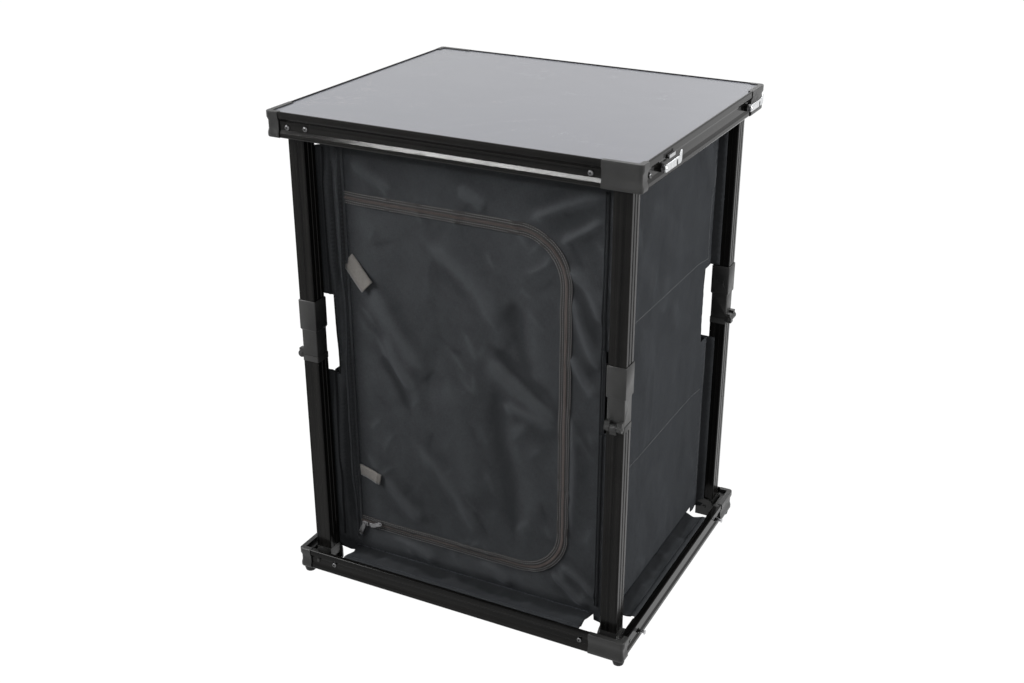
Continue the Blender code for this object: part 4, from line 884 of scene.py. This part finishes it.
def close_tree(graph, shape, material):
    """Ends a tree: instances made real, then the material."""
    real = graph.node("GeometryNodeRealizeInstances", {0: shape})
    painted = graph.node("GeometryNodeSetMaterial", {"Geometry": real, "Material": material})
    exit_node = graph.tree.nodes.new("NodeGroupOutput")
    graph.feed(exit_node.inputs[0], painted)
    return graph.tree


def bead_row_tree():
    """Beads spaced evenly along lines, each turned along its line and towards Facing."""
    graph, given = geometry_tree(
        "bead_row",
        [
            ("Pitch", "NodeSocketFloat", 0.0031),
            ("Along", "NodeSocketFloat", 0.0024),
            ("Across", "NodeSocketFloat", 0.0009),
            ("Height", "NodeSocketFloat", 0.0006),
            ("Facing", "NodeSocketVector", (0.0, -1.0, 0.0)),
            ("Unevenness", "NodeSocketFloat", 0.12),
            ("Seed", "NodeSocketInt", 4),
            ("Material", "NodeSocketMaterial", None),
        ],
    )
    curve = graph.node("GeometryNodeMeshToCurve", {0: given["Geometry"]})
    spaced = graph.node(
        "GeometryNodeResampleCurve", {"Curve": curve, "Length": given["Pitch"]}, mode="LENGTH"
    )
    turn = "FunctionNodeAlignRotationToVector"
    tangent = graph.node("GeometryNodeInputTangent")
    along = graph.node(turn, {"Vector": tangent}, axis="X")
    towards = {"Rotation": along, "Vector": given["Facing"]}
    facing = graph.node(turn, towards, axis="Z", pivot_axis="X")
    ball = graph.node("GeometryNodeMeshIcoSphere", {"Radius": 0.5, "Subdivisions": 1})
    uneven = given["Unevenness"]
    limits = {"Min_001": 1.0 - uneven, "Max_001": uneven + 1.0, "Seed": given["Seed"]}
    chance = graph.node("FunctionNodeRandomValue", limits, 1, data_type="FLOAT")
    sizes = {0: given["Along"] * chance, 1: given["Across"], 2: given["Height"]}
    size = graph.node("ShaderNodeCombineXYZ", sizes)
    set_out = {"Points": spaced, "Instance": ball, "Rotation": facing, "Scale": size}
    beads = graph.node("GeometryNodeInstanceOnPoints", set_out)
    real = graph.node("GeometryNodeRealizeInstances", {0: beads})
    smooth = graph.node("GeometryNodeSetShadeSmooth", {0: real})
    return close_tree(graph, smooth, given["Material"])


def spread_tree():
    """One template set on every point, turned towards the point's facing direction."""
    inputs = [("Template", "NodeSocketObject", None), ("Size", "NodeSocketFloat", 1.0)]
    graph, given = geometry_tree("spread", [*inputs, ("Material", "NodeSocketMaterial", None)])
    template = graph.node("GeometryNodeObjectInfo", {"Object": given["Template"]}, "Geometry")
    facing = graph.node(
        "GeometryNodeInputNamedAttribute", {"Name": "facing"}, data_type="FLOAT_VECTOR"
    )
    turn = graph.node("FunctionNodeAlignRotationToVector", {"Vector": facing}, axis="Z")
    points = graph.node("GeometryNodeMeshToPoints", {0: given["Geometry"]})
    set_out = {"Points": points, "Instance": template, "Rotation": turn, "Scale": given["Size"]}
    placed = graph.node("GeometryNodeInstanceOnPoints", set_out)
    return close_tree(graph, placed, given["Material"])


def grown(name, mesh, tree, values):
    """A plain mesh made by a Geometry Nodes tree from a base mesh and its named inputs."""
    obj = link(bpy.data.objects.new(name, mesh))
    modifier = obj.modifiers.new(tree.name, "NODES")
    modifier.node_group = tree
    for item in tree.interface.items_tree:
        if item.in_out == "INPUT" and item.name in values:
            modifier[item.identifier] = values[item.name]
    bpy.context.view_layer.update()
    graph = bpy.context.evaluated_depsgraph_get()
    made = bpy.data.meshes.new_from_object(obj.evaluated_get(graph), depsgraph=graph)
    obj.modifiers.remove(modifier)
    obj.data = made
    made.name = name
    bpy.data.meshes.remove(mesh)
    return obj


def bead_rows(name, lines, facing, finish, **sizes):
    """Beads along lines. Sizes are other inputs of the bead tree, such as pitch and height."""
    values = {key.capitalize(): value for key, value in sizes.items()}
    values |= {"Facing": facing, "Material": FINISHES[finish]}
    return grown(name, line_mesh(name + "_lines", lines), TREES["beads"], values)


def tube_mesh(name, path, radius, sides=8, flat=0.8):
    """A flattened rod along a line on the front or back, with its length and girth as UV."""
    tangent, across = directions(path)
    up = np.cross(across, tangent)
    angles = np.arange(sides) * 2 * math.pi / sides
    rings = [
        path + across * (radius * math.cos(a)) + up * (radius * flat * math.sin(a)) for a in angles
    ]
    co = np.stack(rings, axis=1).reshape(-1, 3)
    last = len(co) - sides
    faces = []
    for ring in range(0, last, sides):
        for s in range(sides):
            after = (s + 1) % sides
            faces.append((ring + s, ring + after, ring + sides + after, ring + sides + s))
    faces += [tuple(range(sides)), tuple(range(last, last + sides))]
    uv = np.stack([np.repeat(run_along(path), sides), np.tile(angles * radius, len(path))], axis=1)
    mesh = new_mesh(name, co, faces, uv)
    bm = bmesh.new()
    bm.from_mesh(mesh)
    bmesh.ops.recalc_face_normals(bm, faces=bm.faces)
    bm.to_mesh(mesh)
    bm.free()
    return mesh


def joined(name, meshes, finish):
    """Several meshes as one object."""
    bm = bmesh.new()
    for mesh in meshes:
        bm.from_mesh(mesh)
        bpy.data.meshes.remove(mesh)
    return mesh_object(mesh_from(bm, name), finish)


def stand_in(obj, node):
    """Puts a piece in a CAD piece's place: on its body, with the CAD piece hidden."""
    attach(obj, NODES[node]["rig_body"])
    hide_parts(node)


def rounded_copy(node, width, slot, smooth_angle=38.0):
    """A CAD piece again, with its triangles merged, its edges rounded and its curves smooth."""
    bm = bmesh.new()
    bm.from_mesh(NODES[node].data)
    bmesh.ops.remove_doubles(bm, verts=bm.verts, dist=2e-6)
    bmesh.ops.dissolve_limit(bm, angle_limit=math.radians(0.4), verts=bm.verts, edges=bm.edges)
    mesh = mesh_from(bm, node + "_rounded")
    obj = mesh_object(mesh, slot)
    mesh.set_sharp_from_angle(angle=math.radians(smooth_angle))
    bevel = obj.modifiers.new("edges", "BEVEL")
    bevel.width = width
    bevel.segments = 2
    bevel.limit_method = "ANGLE"
    bevel.angle_limit = math.radians(smooth_angle)
    bevel.use_clamp_overlap = True
    bevel.miter_outer = "MITER_ARC"
    bevel.harden_normals = True
    stand_in(obj, node)


def colour_property(name, thing, default):
    return bpy.props.FloatVectorProperty(
        name=name, description=f"Colour of the {thing}", default=default, subtype="COLOR", size=3
    )


def length_property(name, description, default):
    return bpy.props.FloatProperty(
        name=name, description=description, default=default, unit="LENGTH"
    )


class CabinetLook(bpy.types.PropertyGroup):
    """Colours and light of the cabinet."""

    frame_colour: colour_property("Frame", "anodised frames and legs", (0.0052, 0.0050, 0.0047))
    moulding_colour: colour_property(
        "Mouldings", "corner brackets and knees", (0.0225, 0.0225, 0.022)
    )
    worktop_colour: colour_property("Worktop", "worktop board", (0.143, 0.148, 0.172))
    cloth_colour: colour_property("Cloth", "cupboard's cloth", (0.0440, 0.0464, 0.0496))
    lamp_power: bpy.props.FloatProperty(
        name="Lamp", description="Power of the main soft lamp", default=84.0, subtype="POWER"
    )
    sky_strength: bpy.props.FloatProperty(
        name="Room light", description="Strength of the even light from all round", default=0.09
    )


class CabinetStitching(bpy.types.PropertyGroup):
    """Sizes of the sewing and of the zip."""

    stitch_pitch: length_property("Stitch spacing", "From one stitch to the next", 0.0038)
    stitch_length: length_property("Stitch length", "Length of one stitch", 0.0026)
    tooth_pitch: length_property("Zip tooth spacing", "From one zip tooth to the next", 0.0016)


def stage_floor():
    """A plain pale floor that stays white to the camera but keeps the cabinet's shadow."""
    mesh = bpy.data.meshes.new("floor")
    far = FLOOR_REACH
    corners = [(-far, -far, 0), (far, -far, 0), (far, far, 0), (-far, far, 0)]
    mesh.from_pydata(corners, [], [(0, 1, 2, 3)])
    floor = link(bpy.data.objects.new("floor", mesh))
    material = bpy.data.materials.new("pale_floor")
    material.use_nodes = True
    graph = Graph(material.node_tree)
    graph.tree.nodes.remove(graph.tree.nodes["Principled BSDF"])
    grey = (FLOOR_GREY, FLOOR_GREY, FLOOR_GREY, 1)
    matte = graph.node("ShaderNodeBsdfDiffuse", {"Color": grey})
    white = graph.node("ShaderNodeEmission", {"Color": (1, 1, 1, 1), "Strength": FLOOR_WHITE})
    share = graph.seen(FLOOR_SEEN_WHITE)
    mixed = graph.node("ShaderNodeMixShader", {0: share, 1: matte, 2: white})
    graph.feed(graph.tree.nodes["Material Output"].inputs[0], mixed)
    mesh.materials.append(material)


def stage_world(strength):
    """A room that looks white, also in reflections, but lights the cabinet only faintly."""
    world = bpy.data.worlds.new("studio")
    bpy.context.scene.world = world
    world.use_nodes = True
    graph = Graph(world.node_tree)
    background = graph.tree.nodes["Background"]
    background.inputs["Color"].default_value = (1, 1, 1, 1)
    graph.feed(background.inputs["Strength"], graph.seen() * (1.0 - strength) + strength)


def softbox(name, place, target, size, power, tall=None, spread=180.0):
    """A soft lamp at a place, turned towards the target."""
    light = bpy.data.lights.new(name, "AREA")
    light.shape = "RECTANGLE"
    light.size = size
    light.size_y = tall or size
    light.energy = power
    light.spread = math.radians(spread)
    obj = link(bpy.data.objects.new(name, light))
    obj.location = place
    obj.rotation_euler = (Vector(target) - Vector(place)).to_track_quat("-Z", "Y").to_euler()
    return obj


def strip_lamp(name, ends, target, tall, power, spread):
    """A long narrow lamp between two places, for the thin bright line on the top rail."""
    left, right = (Vector(end) for end in ends)
    middle = (left + right) / 2
    lamp = softbox(name, middle, target, (right - left).length, power, tall, spread)
    across = (right - left).normalized()
    back = middle - Vector(target)
    back = (back - across * back.dot(across)).normalized()
    lamp.rotation_euler = Matrix((across, back.cross(across), back)).transposed().to_euler()
    return lamp


class CABINET_OT_stage(bpy.types.Operator):
    """Sets the floor, the light and the camera"""

    bl_idname = "cabinet.stage"
    bl_label = "Stage, light and camera"

    def execute(self, context):
        look = context.scene.cabinet_look
        power = look.lamp_power
        stage_floor()
        stage_world(look.sky_strength)
        softbox("left_lamp", (-2.20, -1.55, 2.05), LAMP_TARGET, 1.4, power)
        rail_power = power * 0.0092
        strip_lamp("rail_lamp", RAIL_LAMP_ENDS, RAIL_LAMP_TARGET, RAIL_LAMP_TALL, rail_power, 30.0)
        softbox("front_fill", (0.90, -2.40, 1.50), LAMP_TARGET, 1.2, power * 0.20)
        softbox("right_lamp", (2.65, 0.50, 1.80), LAMP_TARGET, 1.3, power * 0.86)
        softbox("back_lamp", (0.3, 2.2, 2.6), LAMP_TARGET, 1.6, power * 0.55)
        camera = bpy.data.cameras.new("camera")
        camera.sensor_width = 36.0
        camera.lens = CAMERA_LENS
        camera.shift_x = CAMERA_SHIFT
        camera.clip_start = 0.05
        viewer = link(bpy.data.objects.new("camera", camera))
        viewer.location = CAMERA_PLACE
        viewer.rotation_euler = [math.radians(a) for a in CAMERA_TURN]
        context.scene.camera = viewer
        context.scene.view_settings.view_transform = "Standard"
        return {"FINISHED"}


def paint(node, finish):
    """Gives a CAD piece that is shown as it is its finish."""
    data = NODES[node].data
    data.materials.clear()
    data.materials.append(FINISHES[finish])


class CABINET_OT_frames(bpy.types.Operator):
    """Finishes the rails, brackets, legs, knees, feet and boards"""

    bl_idname = "cabinet.frames"
    bl_label = "Frames and legs"

    def execute(self, context):
        for level in ("top", "bottom"):
            for side, along in (("front", "X"), ("back", "X"), ("left", "Y"), ("right", "Y")):
                paint(f"{level}_rail_{side}", "rail_" + along)
            for corner in CORNERS:
                rounded_copy(f"{level}_corner_{corner}", CORNER_EDGE, "moulding", 30.0)
        for corner in CORNERS:
            for half in ("lower", "upper"):
                self.tube(f"{half}_leg_tube_{corner}")
            for part in ("lower_leg_plug", "upper_leg_plug", "knee_knuckle", "knee_socket"):
                rounded_copy(f"{part}_{corner}", JOINT_EDGE, "moulding")
            rounded_copy(f"foot_{corner}", FOOT_EDGE, "rubber")
        paint("top_panel", "worktop")
        for name in ("floor_board", "shelf_lower", "shelf_upper"):
            paint(name, "board")
        return {"FINISHED"}

    def tube(self, node):
        """A square leg tube: deep grooves down its left and right faces, fine ones elsewhere."""
        low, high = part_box(node)
        centre = (Vector(low) + Vector(high)) / 2
        half, edge, end = LEG_HALF, TUBE_EDGE, TUBE_END
        outline = []
        for quarter in range(4):
            turn = Matrix.Rotation(math.radians(90 * quarter), 2)
            depth, wide = FINE_GROOVE if quarter % 2 else DEEP_GROOVE
            face = [(half, -half + edge)]
            for middle in GROOVE_PLACES:
                face += [(half, middle - wide), (half - depth, middle - wide * 0.6)]
                face += [(half - depth, middle + wide * 0.6), (half, middle + wide)]
            for k in range(6):
                a = math.radians(18 * k)
                face.append((half - edge + edge * math.cos(a), half - edge + edge * math.sin(a)))
            outline += [turn @ Vector(point) for point in face]
        rings = []
        for z, inset in ((low[2], end), (low[2] + end, 0), (high[2] - end, 0), (high[2], end)):
            scale = 1 - inset / half
            rings.append([(centre.x + x * scale, centre.y + y * scale, z) for x, y in outline])
        mesh = lofted(node + "_drawn", rings)
        obj = mesh_object(mesh, "tube")
        mesh.set_sharp_from_angle(angle=math.radians(30))
        stand_in(obj, node)


class CABINET_OT_walls(bpy.types.Operator):
    """Hangs the four cloth walls and ties their skirts to the bottom rails"""

    bl_idname = "cabinet.walls"
    bl_label = "Cloth walls"

    def execute(self, context):
        # Each end: its edge, the knee opening's low and high side, its top and its foot
        free = (FREE_REACH, 0.2325, 0.2375, 0.2320, 0.222)
        beside_leg = (LEG_SIDE_REACH, 0.2315, 0.2315, 0.2475, 0.222)
        front_cut = wall_outline([-x for x in free], beside_leg)
        back_cut = wall_outline([-x for x in beside_leg], free)
        size = (FREE_REACH + LEG_SIDE_REACH, WALL_HIGH - WALL_LOW)
        front = sheet_mesh("cloth_front", front_cut, [door_path(DOOR_GAP)], on_front)
        self.hang(front, "front", size, 0.185)
        back = sheet_mesh("cloth_back", back_cut, [], on_back, COARSE_CELL, BACK_CREST)
        self.hang(back, "back", size, 0.38)
        knee = SIDE_FRONT + 0.030
        back_knee = SIDE_BACK - 0.030
        back_end = (SIDE_BACK, back_knee, back_knee, SIDE_BACK - 0.004, SIDE_BACK - 0.028)
        for name, side, top, cell in (("right", 1, 0.004, CELL), ("left", -1, 0.024, COARSE_CELL)):
            front_end = (SIDE_FRONT, knee, knee, SIDE_FRONT + top, SIDE_FRONT + 0.026)
            cut = wall_outline(front_end, back_end)
            mesh = sheet_mesh("cloth_" + name, cut, [], on_side(side), cell, SIDE_CREST)
            self.hang(mesh, name, (SIDE_BACK - SIDE_FRONT, WALL_HIGH - WALL_LOW), 0.295)
        self.skirts()
        return {"FINISHED"}

    def hang(self, mesh, name, flat, area):
        """Makes a wall of a sheet, puts it on the base body and hides the CAD panel."""
        wall = thicken(mesh_object(mesh, "cloth"))
        finish_piece(wall, "base")
        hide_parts(name + "_panel")

    def skirts(self):
        """Strips from each wall's foot out to the rail beside it, and their hems on the ledges."""
        deep, short, wide = 0.0400, 0.0305, 0.0315
        strips = {
            "front": (lambda s, t: (s, FRONT_Y - t * deep, 0.0), 0.2225, deep, (0, -1, 1)),
            "back": (lambda s, t: (-s, BACK_Y + t * short, 0.0), 0.212, short, (0, 1, 1)),
            "right": (lambda s, t: (SIDE_X + t * wide, s - 0.014, 0.0), 0.168, wide, (1, 0, 1)),
            "left": (lambda s, t: (-SIDE_X - t * wide, 0.014 - s, 0.0), 0.168, wide, (-1, 0, 1)),
        }
        self.hems(strips)
        for number, (name, strip) in enumerate(strips.items()):
            self.skirt(number, name, *strip)

    def skirt(self, number, name, run, half, width, outward):
        """One strip, slack between its two edges."""

        def place(cut):
            share = cut[:, 1] / width
            base = np.array([run(s, t) for s, t in zip(cut[:, 0], share)])
            wave = cloud_of(cut * np.array([1.0, 0.6]), 24.0, 31.0 + number)
            fall = SKIRT_HEIGHT + 0.0004 * share - 0.0016 * np.sin(math.pi * share)
            crumple = cloud_of(cut @ np.array([[0.8, -0.3], [0.6, 0.5]]), 62.0, 41.0 + number)
            slack = np.sin(math.pi * np.clip(share, 0, 1)) ** 0.7
            base[:, 2] = fall + (0.0046 * wave + 0.0022 * crumple) * slack
            return base, outward

        cut = [(-half, 0), (half, 0), (half - 0.006, width * 0.5), (half - 0.003, width)]
        cut += [(-half + 0.003, width), (-half + 0.006, width * 0.5)]
        mesh = sheet_mesh("skirt_" + name, cut, [], place)
        # The skirt finish is the cloth darkened as painted shade
        strip = thicken(mesh_object(mesh, "skirt"))
        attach(strip, "base")
        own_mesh(strip)

    def hems(self, strips):
        """The skirts' doubled edges, laid on the ledges inside the bottom rails."""
        meshes = []
        for number, (run, half, width, _) in enumerate(strips.values()):
            along = np.linspace(-half + 0.004, half - 0.004, 90)
            inner, outer = (
                np.array([run(s, (width + past) / width) for s in along])
                for past in (0.0004, 0.0072)
            )
            centre = (inner + outer) / 2
            wave = np.array([noise.noise(Vector((s * 26.0, number, 5.0))) for s in along])
            centre[:, 2] = HEM_HEIGHT + 0.0004 * wave
            across = (inner - outer) / np.linalg.norm(inner - outer, axis=1)[:, None]
            meshes.append(ribbon_mesh("hem", centre, across, 0.0034, (0, 0, 0.0006)))
        hem = thicken(joined("skirt_hems", meshes, "cloth"), HEM_THICKNESS, 0.0)
        finish_piece(hem, "base", squash=False)


class CABINET_OT_door(bpy.types.Operator):
    """Cuts the door's cloth and sews on its two webbing ties"""

    bl_idname = "cabinet.door"
    bl_label = "Door"

    def execute(self, context):
        mesh = sheet_mesh("door_cloth", door_path(-DOOR_GAP), [], on_front)
        door = thicken(mesh_object(mesh, "cloth"))
        finish_piece(door, "door")
        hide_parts("door_panel")
        upper = self.tie("tie_upper", UPPER_TIE, 0.0140, 0.004)
        lower = self.tie("tie_lower", LOWER_TIE, 0.0100, 0.003)
        return {"FINISHED"}

    def tie(self, name, points, half, low, high=0.006):
        """A doubled webbing strap that springs off the door and curls towards its end."""
        line = smooth_line(points, 0.0015)
        share = np.linspace(0, 1, len(line))
        centre = front_place(line)
        centre[:, 1] -= 0.0006 + (high - low) * np.sin(share * math.pi / 1.35) + low * share
        mesh = ribbon_mesh(name, centre, directions(centre)[1], half)
        strap = thicken(mesh_object(mesh, "webbing"), TIE_THICKNESS, 0.0)
        return finish_piece(strap, "door")


class CABINET_OT_zip(bpy.types.Operator):
    """Lays the zip's tapes, its two rows of teeth and its sliders"""

    bl_idname = "cabinet.zip"
    bl_label = "Zip"

    def execute(self, context):
        sewing = context.scene.cabinet_stitching
        for name, body, sign in ZIP_HALVES:
            line = polyline(door_path(sign * (TAPE_HALF / 2 + 0.0004)))
            places = front_place(line, TAPE_LIFT)
            mesh = ribbon_mesh("zip_tape_" + name, places, directions(places)[1], TAPE_HALF / 2)
            tape = thicken(mesh_object(mesh, "tape"), TAPE_THICKNESS, 0.0)
            finish_piece(tape, body)
            if name == "wall":
                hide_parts("zipper_tape")
            row = polyline(door_path(sign * 0.0010), 0.002)
            if sign > 0:
                row = row[1:]
            rows = [front_place(row, TAPE_LIFT + 0.0011)]
            sizes = {"pitch": sewing.tooth_pitch, **TOOTH}
            teeth = bead_rows("zip_teeth_" + name, rows, (0, -1, 0), "teeth", **sizes)
            finish_piece(teeth, body)
        for node in ("zip_slider", "zip_slider_end", "zip_pull"):
            rounded_copy(node, METAL_EDGE, "zip")
        return {"FINISHED"}


class CABINET_OT_sewing(bpy.types.Operator):
    """Sews the seams: stitches, piping, bindings and the raised seam that the door hangs on"""

    bl_idname = "cabinet.sewing"
    bl_label = "Stitching and bindings"

    def execute(self, context):
        sewing = context.scene.cabinet_stitching
        row = {"pitch": sewing.stitch_pitch, "along": sewing.stitch_length}
        for name, body, sign in ZIP_HALVES:
            paths = [polyline(door_path(sign * away)) for away in TAPE_STITCHES]
            lines = [front_place(path, TAPE_LIFT + 0.0003) for path in paths]
            stitched = bead_rows("zip_stitches_" + name, lines, (0, -1, 0), "thread", **row)
            finish_piece(stitched, body)
        seams = []
        for height in SHELVES:
            rise = height + SHELF_SEAM_RISE
            seams.append(polyline([(-0.15, rise), (0.14, rise), (0.185, height - 0.002)]))
        seams.append(polyline([(0.194, 0.70), (0.187, 0.569), (0.190, 0.51)]))
        seams.append(polyline([(0.199, 0.36), (0.197, 0.075)]))
        for name, side in (("right", 1), ("left", -1)):
            lines = [side_place(line, side, 0.0002) for line in seams]
            name = "wall_stitches_" + name
            stitched = bead_rows(name, lines, (side, 0, 0), "thread", seed=9 + side, **row)
            finish_piece(stitched, "base")
        self.door_seam()
        self.piping()
        return {"FINISHED"}

    def door_seam(self):
        """The raised pleats beside the door, from under the top rail to below the zip."""
        heights = np.linspace(*PLEAT_ENDS, 170)
        door, strip = (DOOR_LEFT - 0.0014, 0.0026, 0.7), (-0.2165, 0.0021, 0.65)
        for name, x, radius, flat in (("door_seam", *door), ("strip_seam", *strip)):
            sway = [0.0009 * noise.noise(Vector((z * 14.0, x * 40.0, 2.0))) for z in heights]
            path = front_place(np.stack([x + np.array(sway), heights], axis=1), 0.0006)
            mesh = tube_mesh(name, path, radius, 10, flat)
            finish_piece(mesh_object(mesh, "cloth"), "base")

    def piping(self):
        """Dark piping down the front's and back's edges, and bindings round the knee openings. The
        piping's darkness is partly painted shade of the gap beside the legs, and its thinnest rod
        is a painted shadow line.
        """
        meshes = []
        mirror = np.array([-1, 1])
        knee_low, knee_high = KNEE_GAP
        # The thinnest rod, at x 0.2253, is a dark line standing in for the shaded gap between the
        # cloth and the leg: painted shade
        for x, radius in ((0.2253, 0.0012), (0.2290, 0.0026), (-0.2425, 0.0018)):
            for low, high in ((0.060, knee_low), KNEE_GAP, (knee_high, 0.742)):
                if x < 0 and low == knee_low:
                    continue
                line = polyline([(x, low), (x, high)], 0.006)
                meshes.append(tube_mesh("piping", front_place(line, 0.0006), radius))
                meshes.append(tube_mesh("piping", back_place(line * mirror, 0.0004), 0.0017))
        low, high = knee_low + 0.001, knee_high - 0.001
        for low_x, high_x, reach in ((0.2308, 0.2308, 0.2475), (-0.2318, -0.2368, -0.2605)):
            line = polyline([(reach, low), (low_x, low), (high_x, high), (reach, high)], 0.004)
            meshes.append(tube_mesh("binding", front_place(line), 0.0014))
            meshes.append(tube_mesh("binding", back_place(line * mirror), 0.0014))
        finish_piece(joined("bindings", meshes, "binding"), "base")


def screw_template():
    """A pan-head screw with a hexagon socket, its seat at z = 0."""
    angles = [k * math.pi / 9 for k in range(18)]
    rim = [(0.0036, 0.0), (0.0037, 0.0006), (0.0034, 0.0013), (0.0027, 0.0018), (0.0019, 0.0020)]
    rings = []
    for radius, height in rim:
        rings.append([(radius * math.cos(a), radius * math.sin(a), height) for a in angles])
    for height in (0.0020, 0.0007):
        ring = []
        for a in angles:
            off_flat = (a + math.pi / 6) % (math.pi / 3) - math.pi / 6
            edge = SCREW_SOCKET / max(math.cos(off_flat), 0.5)
            ring.append((edge * math.cos(a), edge * math.sin(a), height))
        rings.append(ring)
    mesh = lofted("screw_template", rings)
    mesh.shade_smooth()
    mesh.set_sharp_from_angle(angle=math.radians(40))
    return link(bpy.data.objects.new("screw_template", mesh))


def point_mesh(name, places):
    """Points with a facing direction each."""
    mesh = bpy.data.meshes.new(name)
    mesh.from_pydata([place for place, _ in places], [], [])
    facing = mesh.attributes.new("facing", "FLOAT_VECTOR", "POINT")
    facing.data.foreach_set("vector", np.array([f for _, f in places], np.float32).ravel())
    return mesh


class CABINET_OT_fasteners(bpy.types.Operator):
    """Sets the screw heads on the frames and rounds the latch hooks"""

    bl_idname = "cabinet.fasteners"
    bl_label = "Screws and latches"

    def execute(self, context):
        template = screw_template()
        for body, rise in SCREW_HEIGHTS:
            places = self.heads(rise, body == "top")
            material = FINISHES["dark_screw"]
            values = {"Template": template, "Size": SCREW_SIZE, "Material": material}
            points = point_mesh("screw_points", places)
            screws = grown(f"screw_heads_{body}", points, TREES["spread"], values)
            finish_piece(screws, body, squash=False)
        bpy.data.objects.remove(template)
        for node in ("latch_hook_front", "latch_hook_rear"):
            rounded_copy(node, METAL_EDGE, "bright")
        return {"FINISHED"}

    def heads(self, rise, bolts):
        """Where each frame's screws are: beside the corners on all four sides."""
        places = []
        seat = WEB_FACE - 0.0002
        for x_side, y_side, turn in ((-1, -1, 0), (1, -1, 90), (1, 1, 180), (-1, 1, 270)):
            corner = Vector((x_side * HALF_WIDTH, y_side * HALF_DEPTH, rise))
            spin = Matrix.Rotation(math.radians(turn), 3, "Z")
            front, side = spin @ Vector((0, -1, 0)), spin @ Vector((-1, 0, 0))
            if turn != 90:
                places.append((corner + spin @ Vector((SCREW_ALONG_FRONT, seat, 0)), front))
            if turn != 180:
                places.append((corner + spin @ Vector((seat, SCREW_ALONG_SIDE, 0)), side))
            if bolts:
                bolt = Vector((BOLT_ALONG, seat, BOLT_HEIGHT - rise))
                places.append((corner + spin @ bolt, front))
        return places


class CABINET_PT_panel(bpy.types.Panel):
    """Lists the cabinet's makers and settings"""

    bl_idname = "CABINET_PT_panel"
    bl_label = "Camp kitchen cabinet"
    bl_space_type = "VIEW_3D"
    bl_region_type = "UI"
    bl_category = "Cabinet"

    def draw(self, context):
        layout = self.layout
        for settings in (context.scene.cabinet_look, context.scene.cabinet_stitching):
            box = layout.box()
            for name in settings.__annotations__:
                box.prop(settings, name)
        for operator in OPERATORS:
            layout.operator(operator.bl_idname)


OPERATORS = (
    CABINET_OT_stage,
    CABINET_OT_frames,
    CABINET_OT_walls,
    CABINET_OT_door,
    CABINET_OT_zip,
    CABINET_OT_sewing,
    CABINET_OT_fasteners,
)
CLASSES = (CabinetLook, CabinetStitching, *OPERATORS, CABINET_PT_panel)


def register():
    for cls in CLASSES:
        bpy.utils.register_class(cls)
    bpy.types.Scene.cabinet_look = bpy.props.PointerProperty(type=CabinetLook)
    bpy.types.Scene.cabinet_stitching = bpy.props.PointerProperty(type=CabinetStitching)


def unregister():
    del bpy.types.Scene.cabinet_stitching
    del bpy.types.Scene.cabinet_look
    for cls in reversed(CLASSES):
        bpy.utils.unregister_class(cls)


def main():
    for name in ("Cube", "Light", "Camera"):
        if name in bpy.data.objects:
            bpy.data.objects.remove(bpy.data.objects[name])
    register()
    make_finishes(bpy.context.scene.cabinet_look)
    TREES["beads"] = bead_row_tree()
    TREES["spread"] = spread_tree()
    bpy.ops.cabinet.stage()
    bpy.ops.cabinet.frames()
    bpy.ops.cabinet.walls()
    bpy.ops.cabinet.door()
    bpy.ops.cabinet.zip()
    bpy.ops.cabinet.sewing()
    bpy.ops.cabinet.fasteners()


if __name__ == "__main__":
    main()
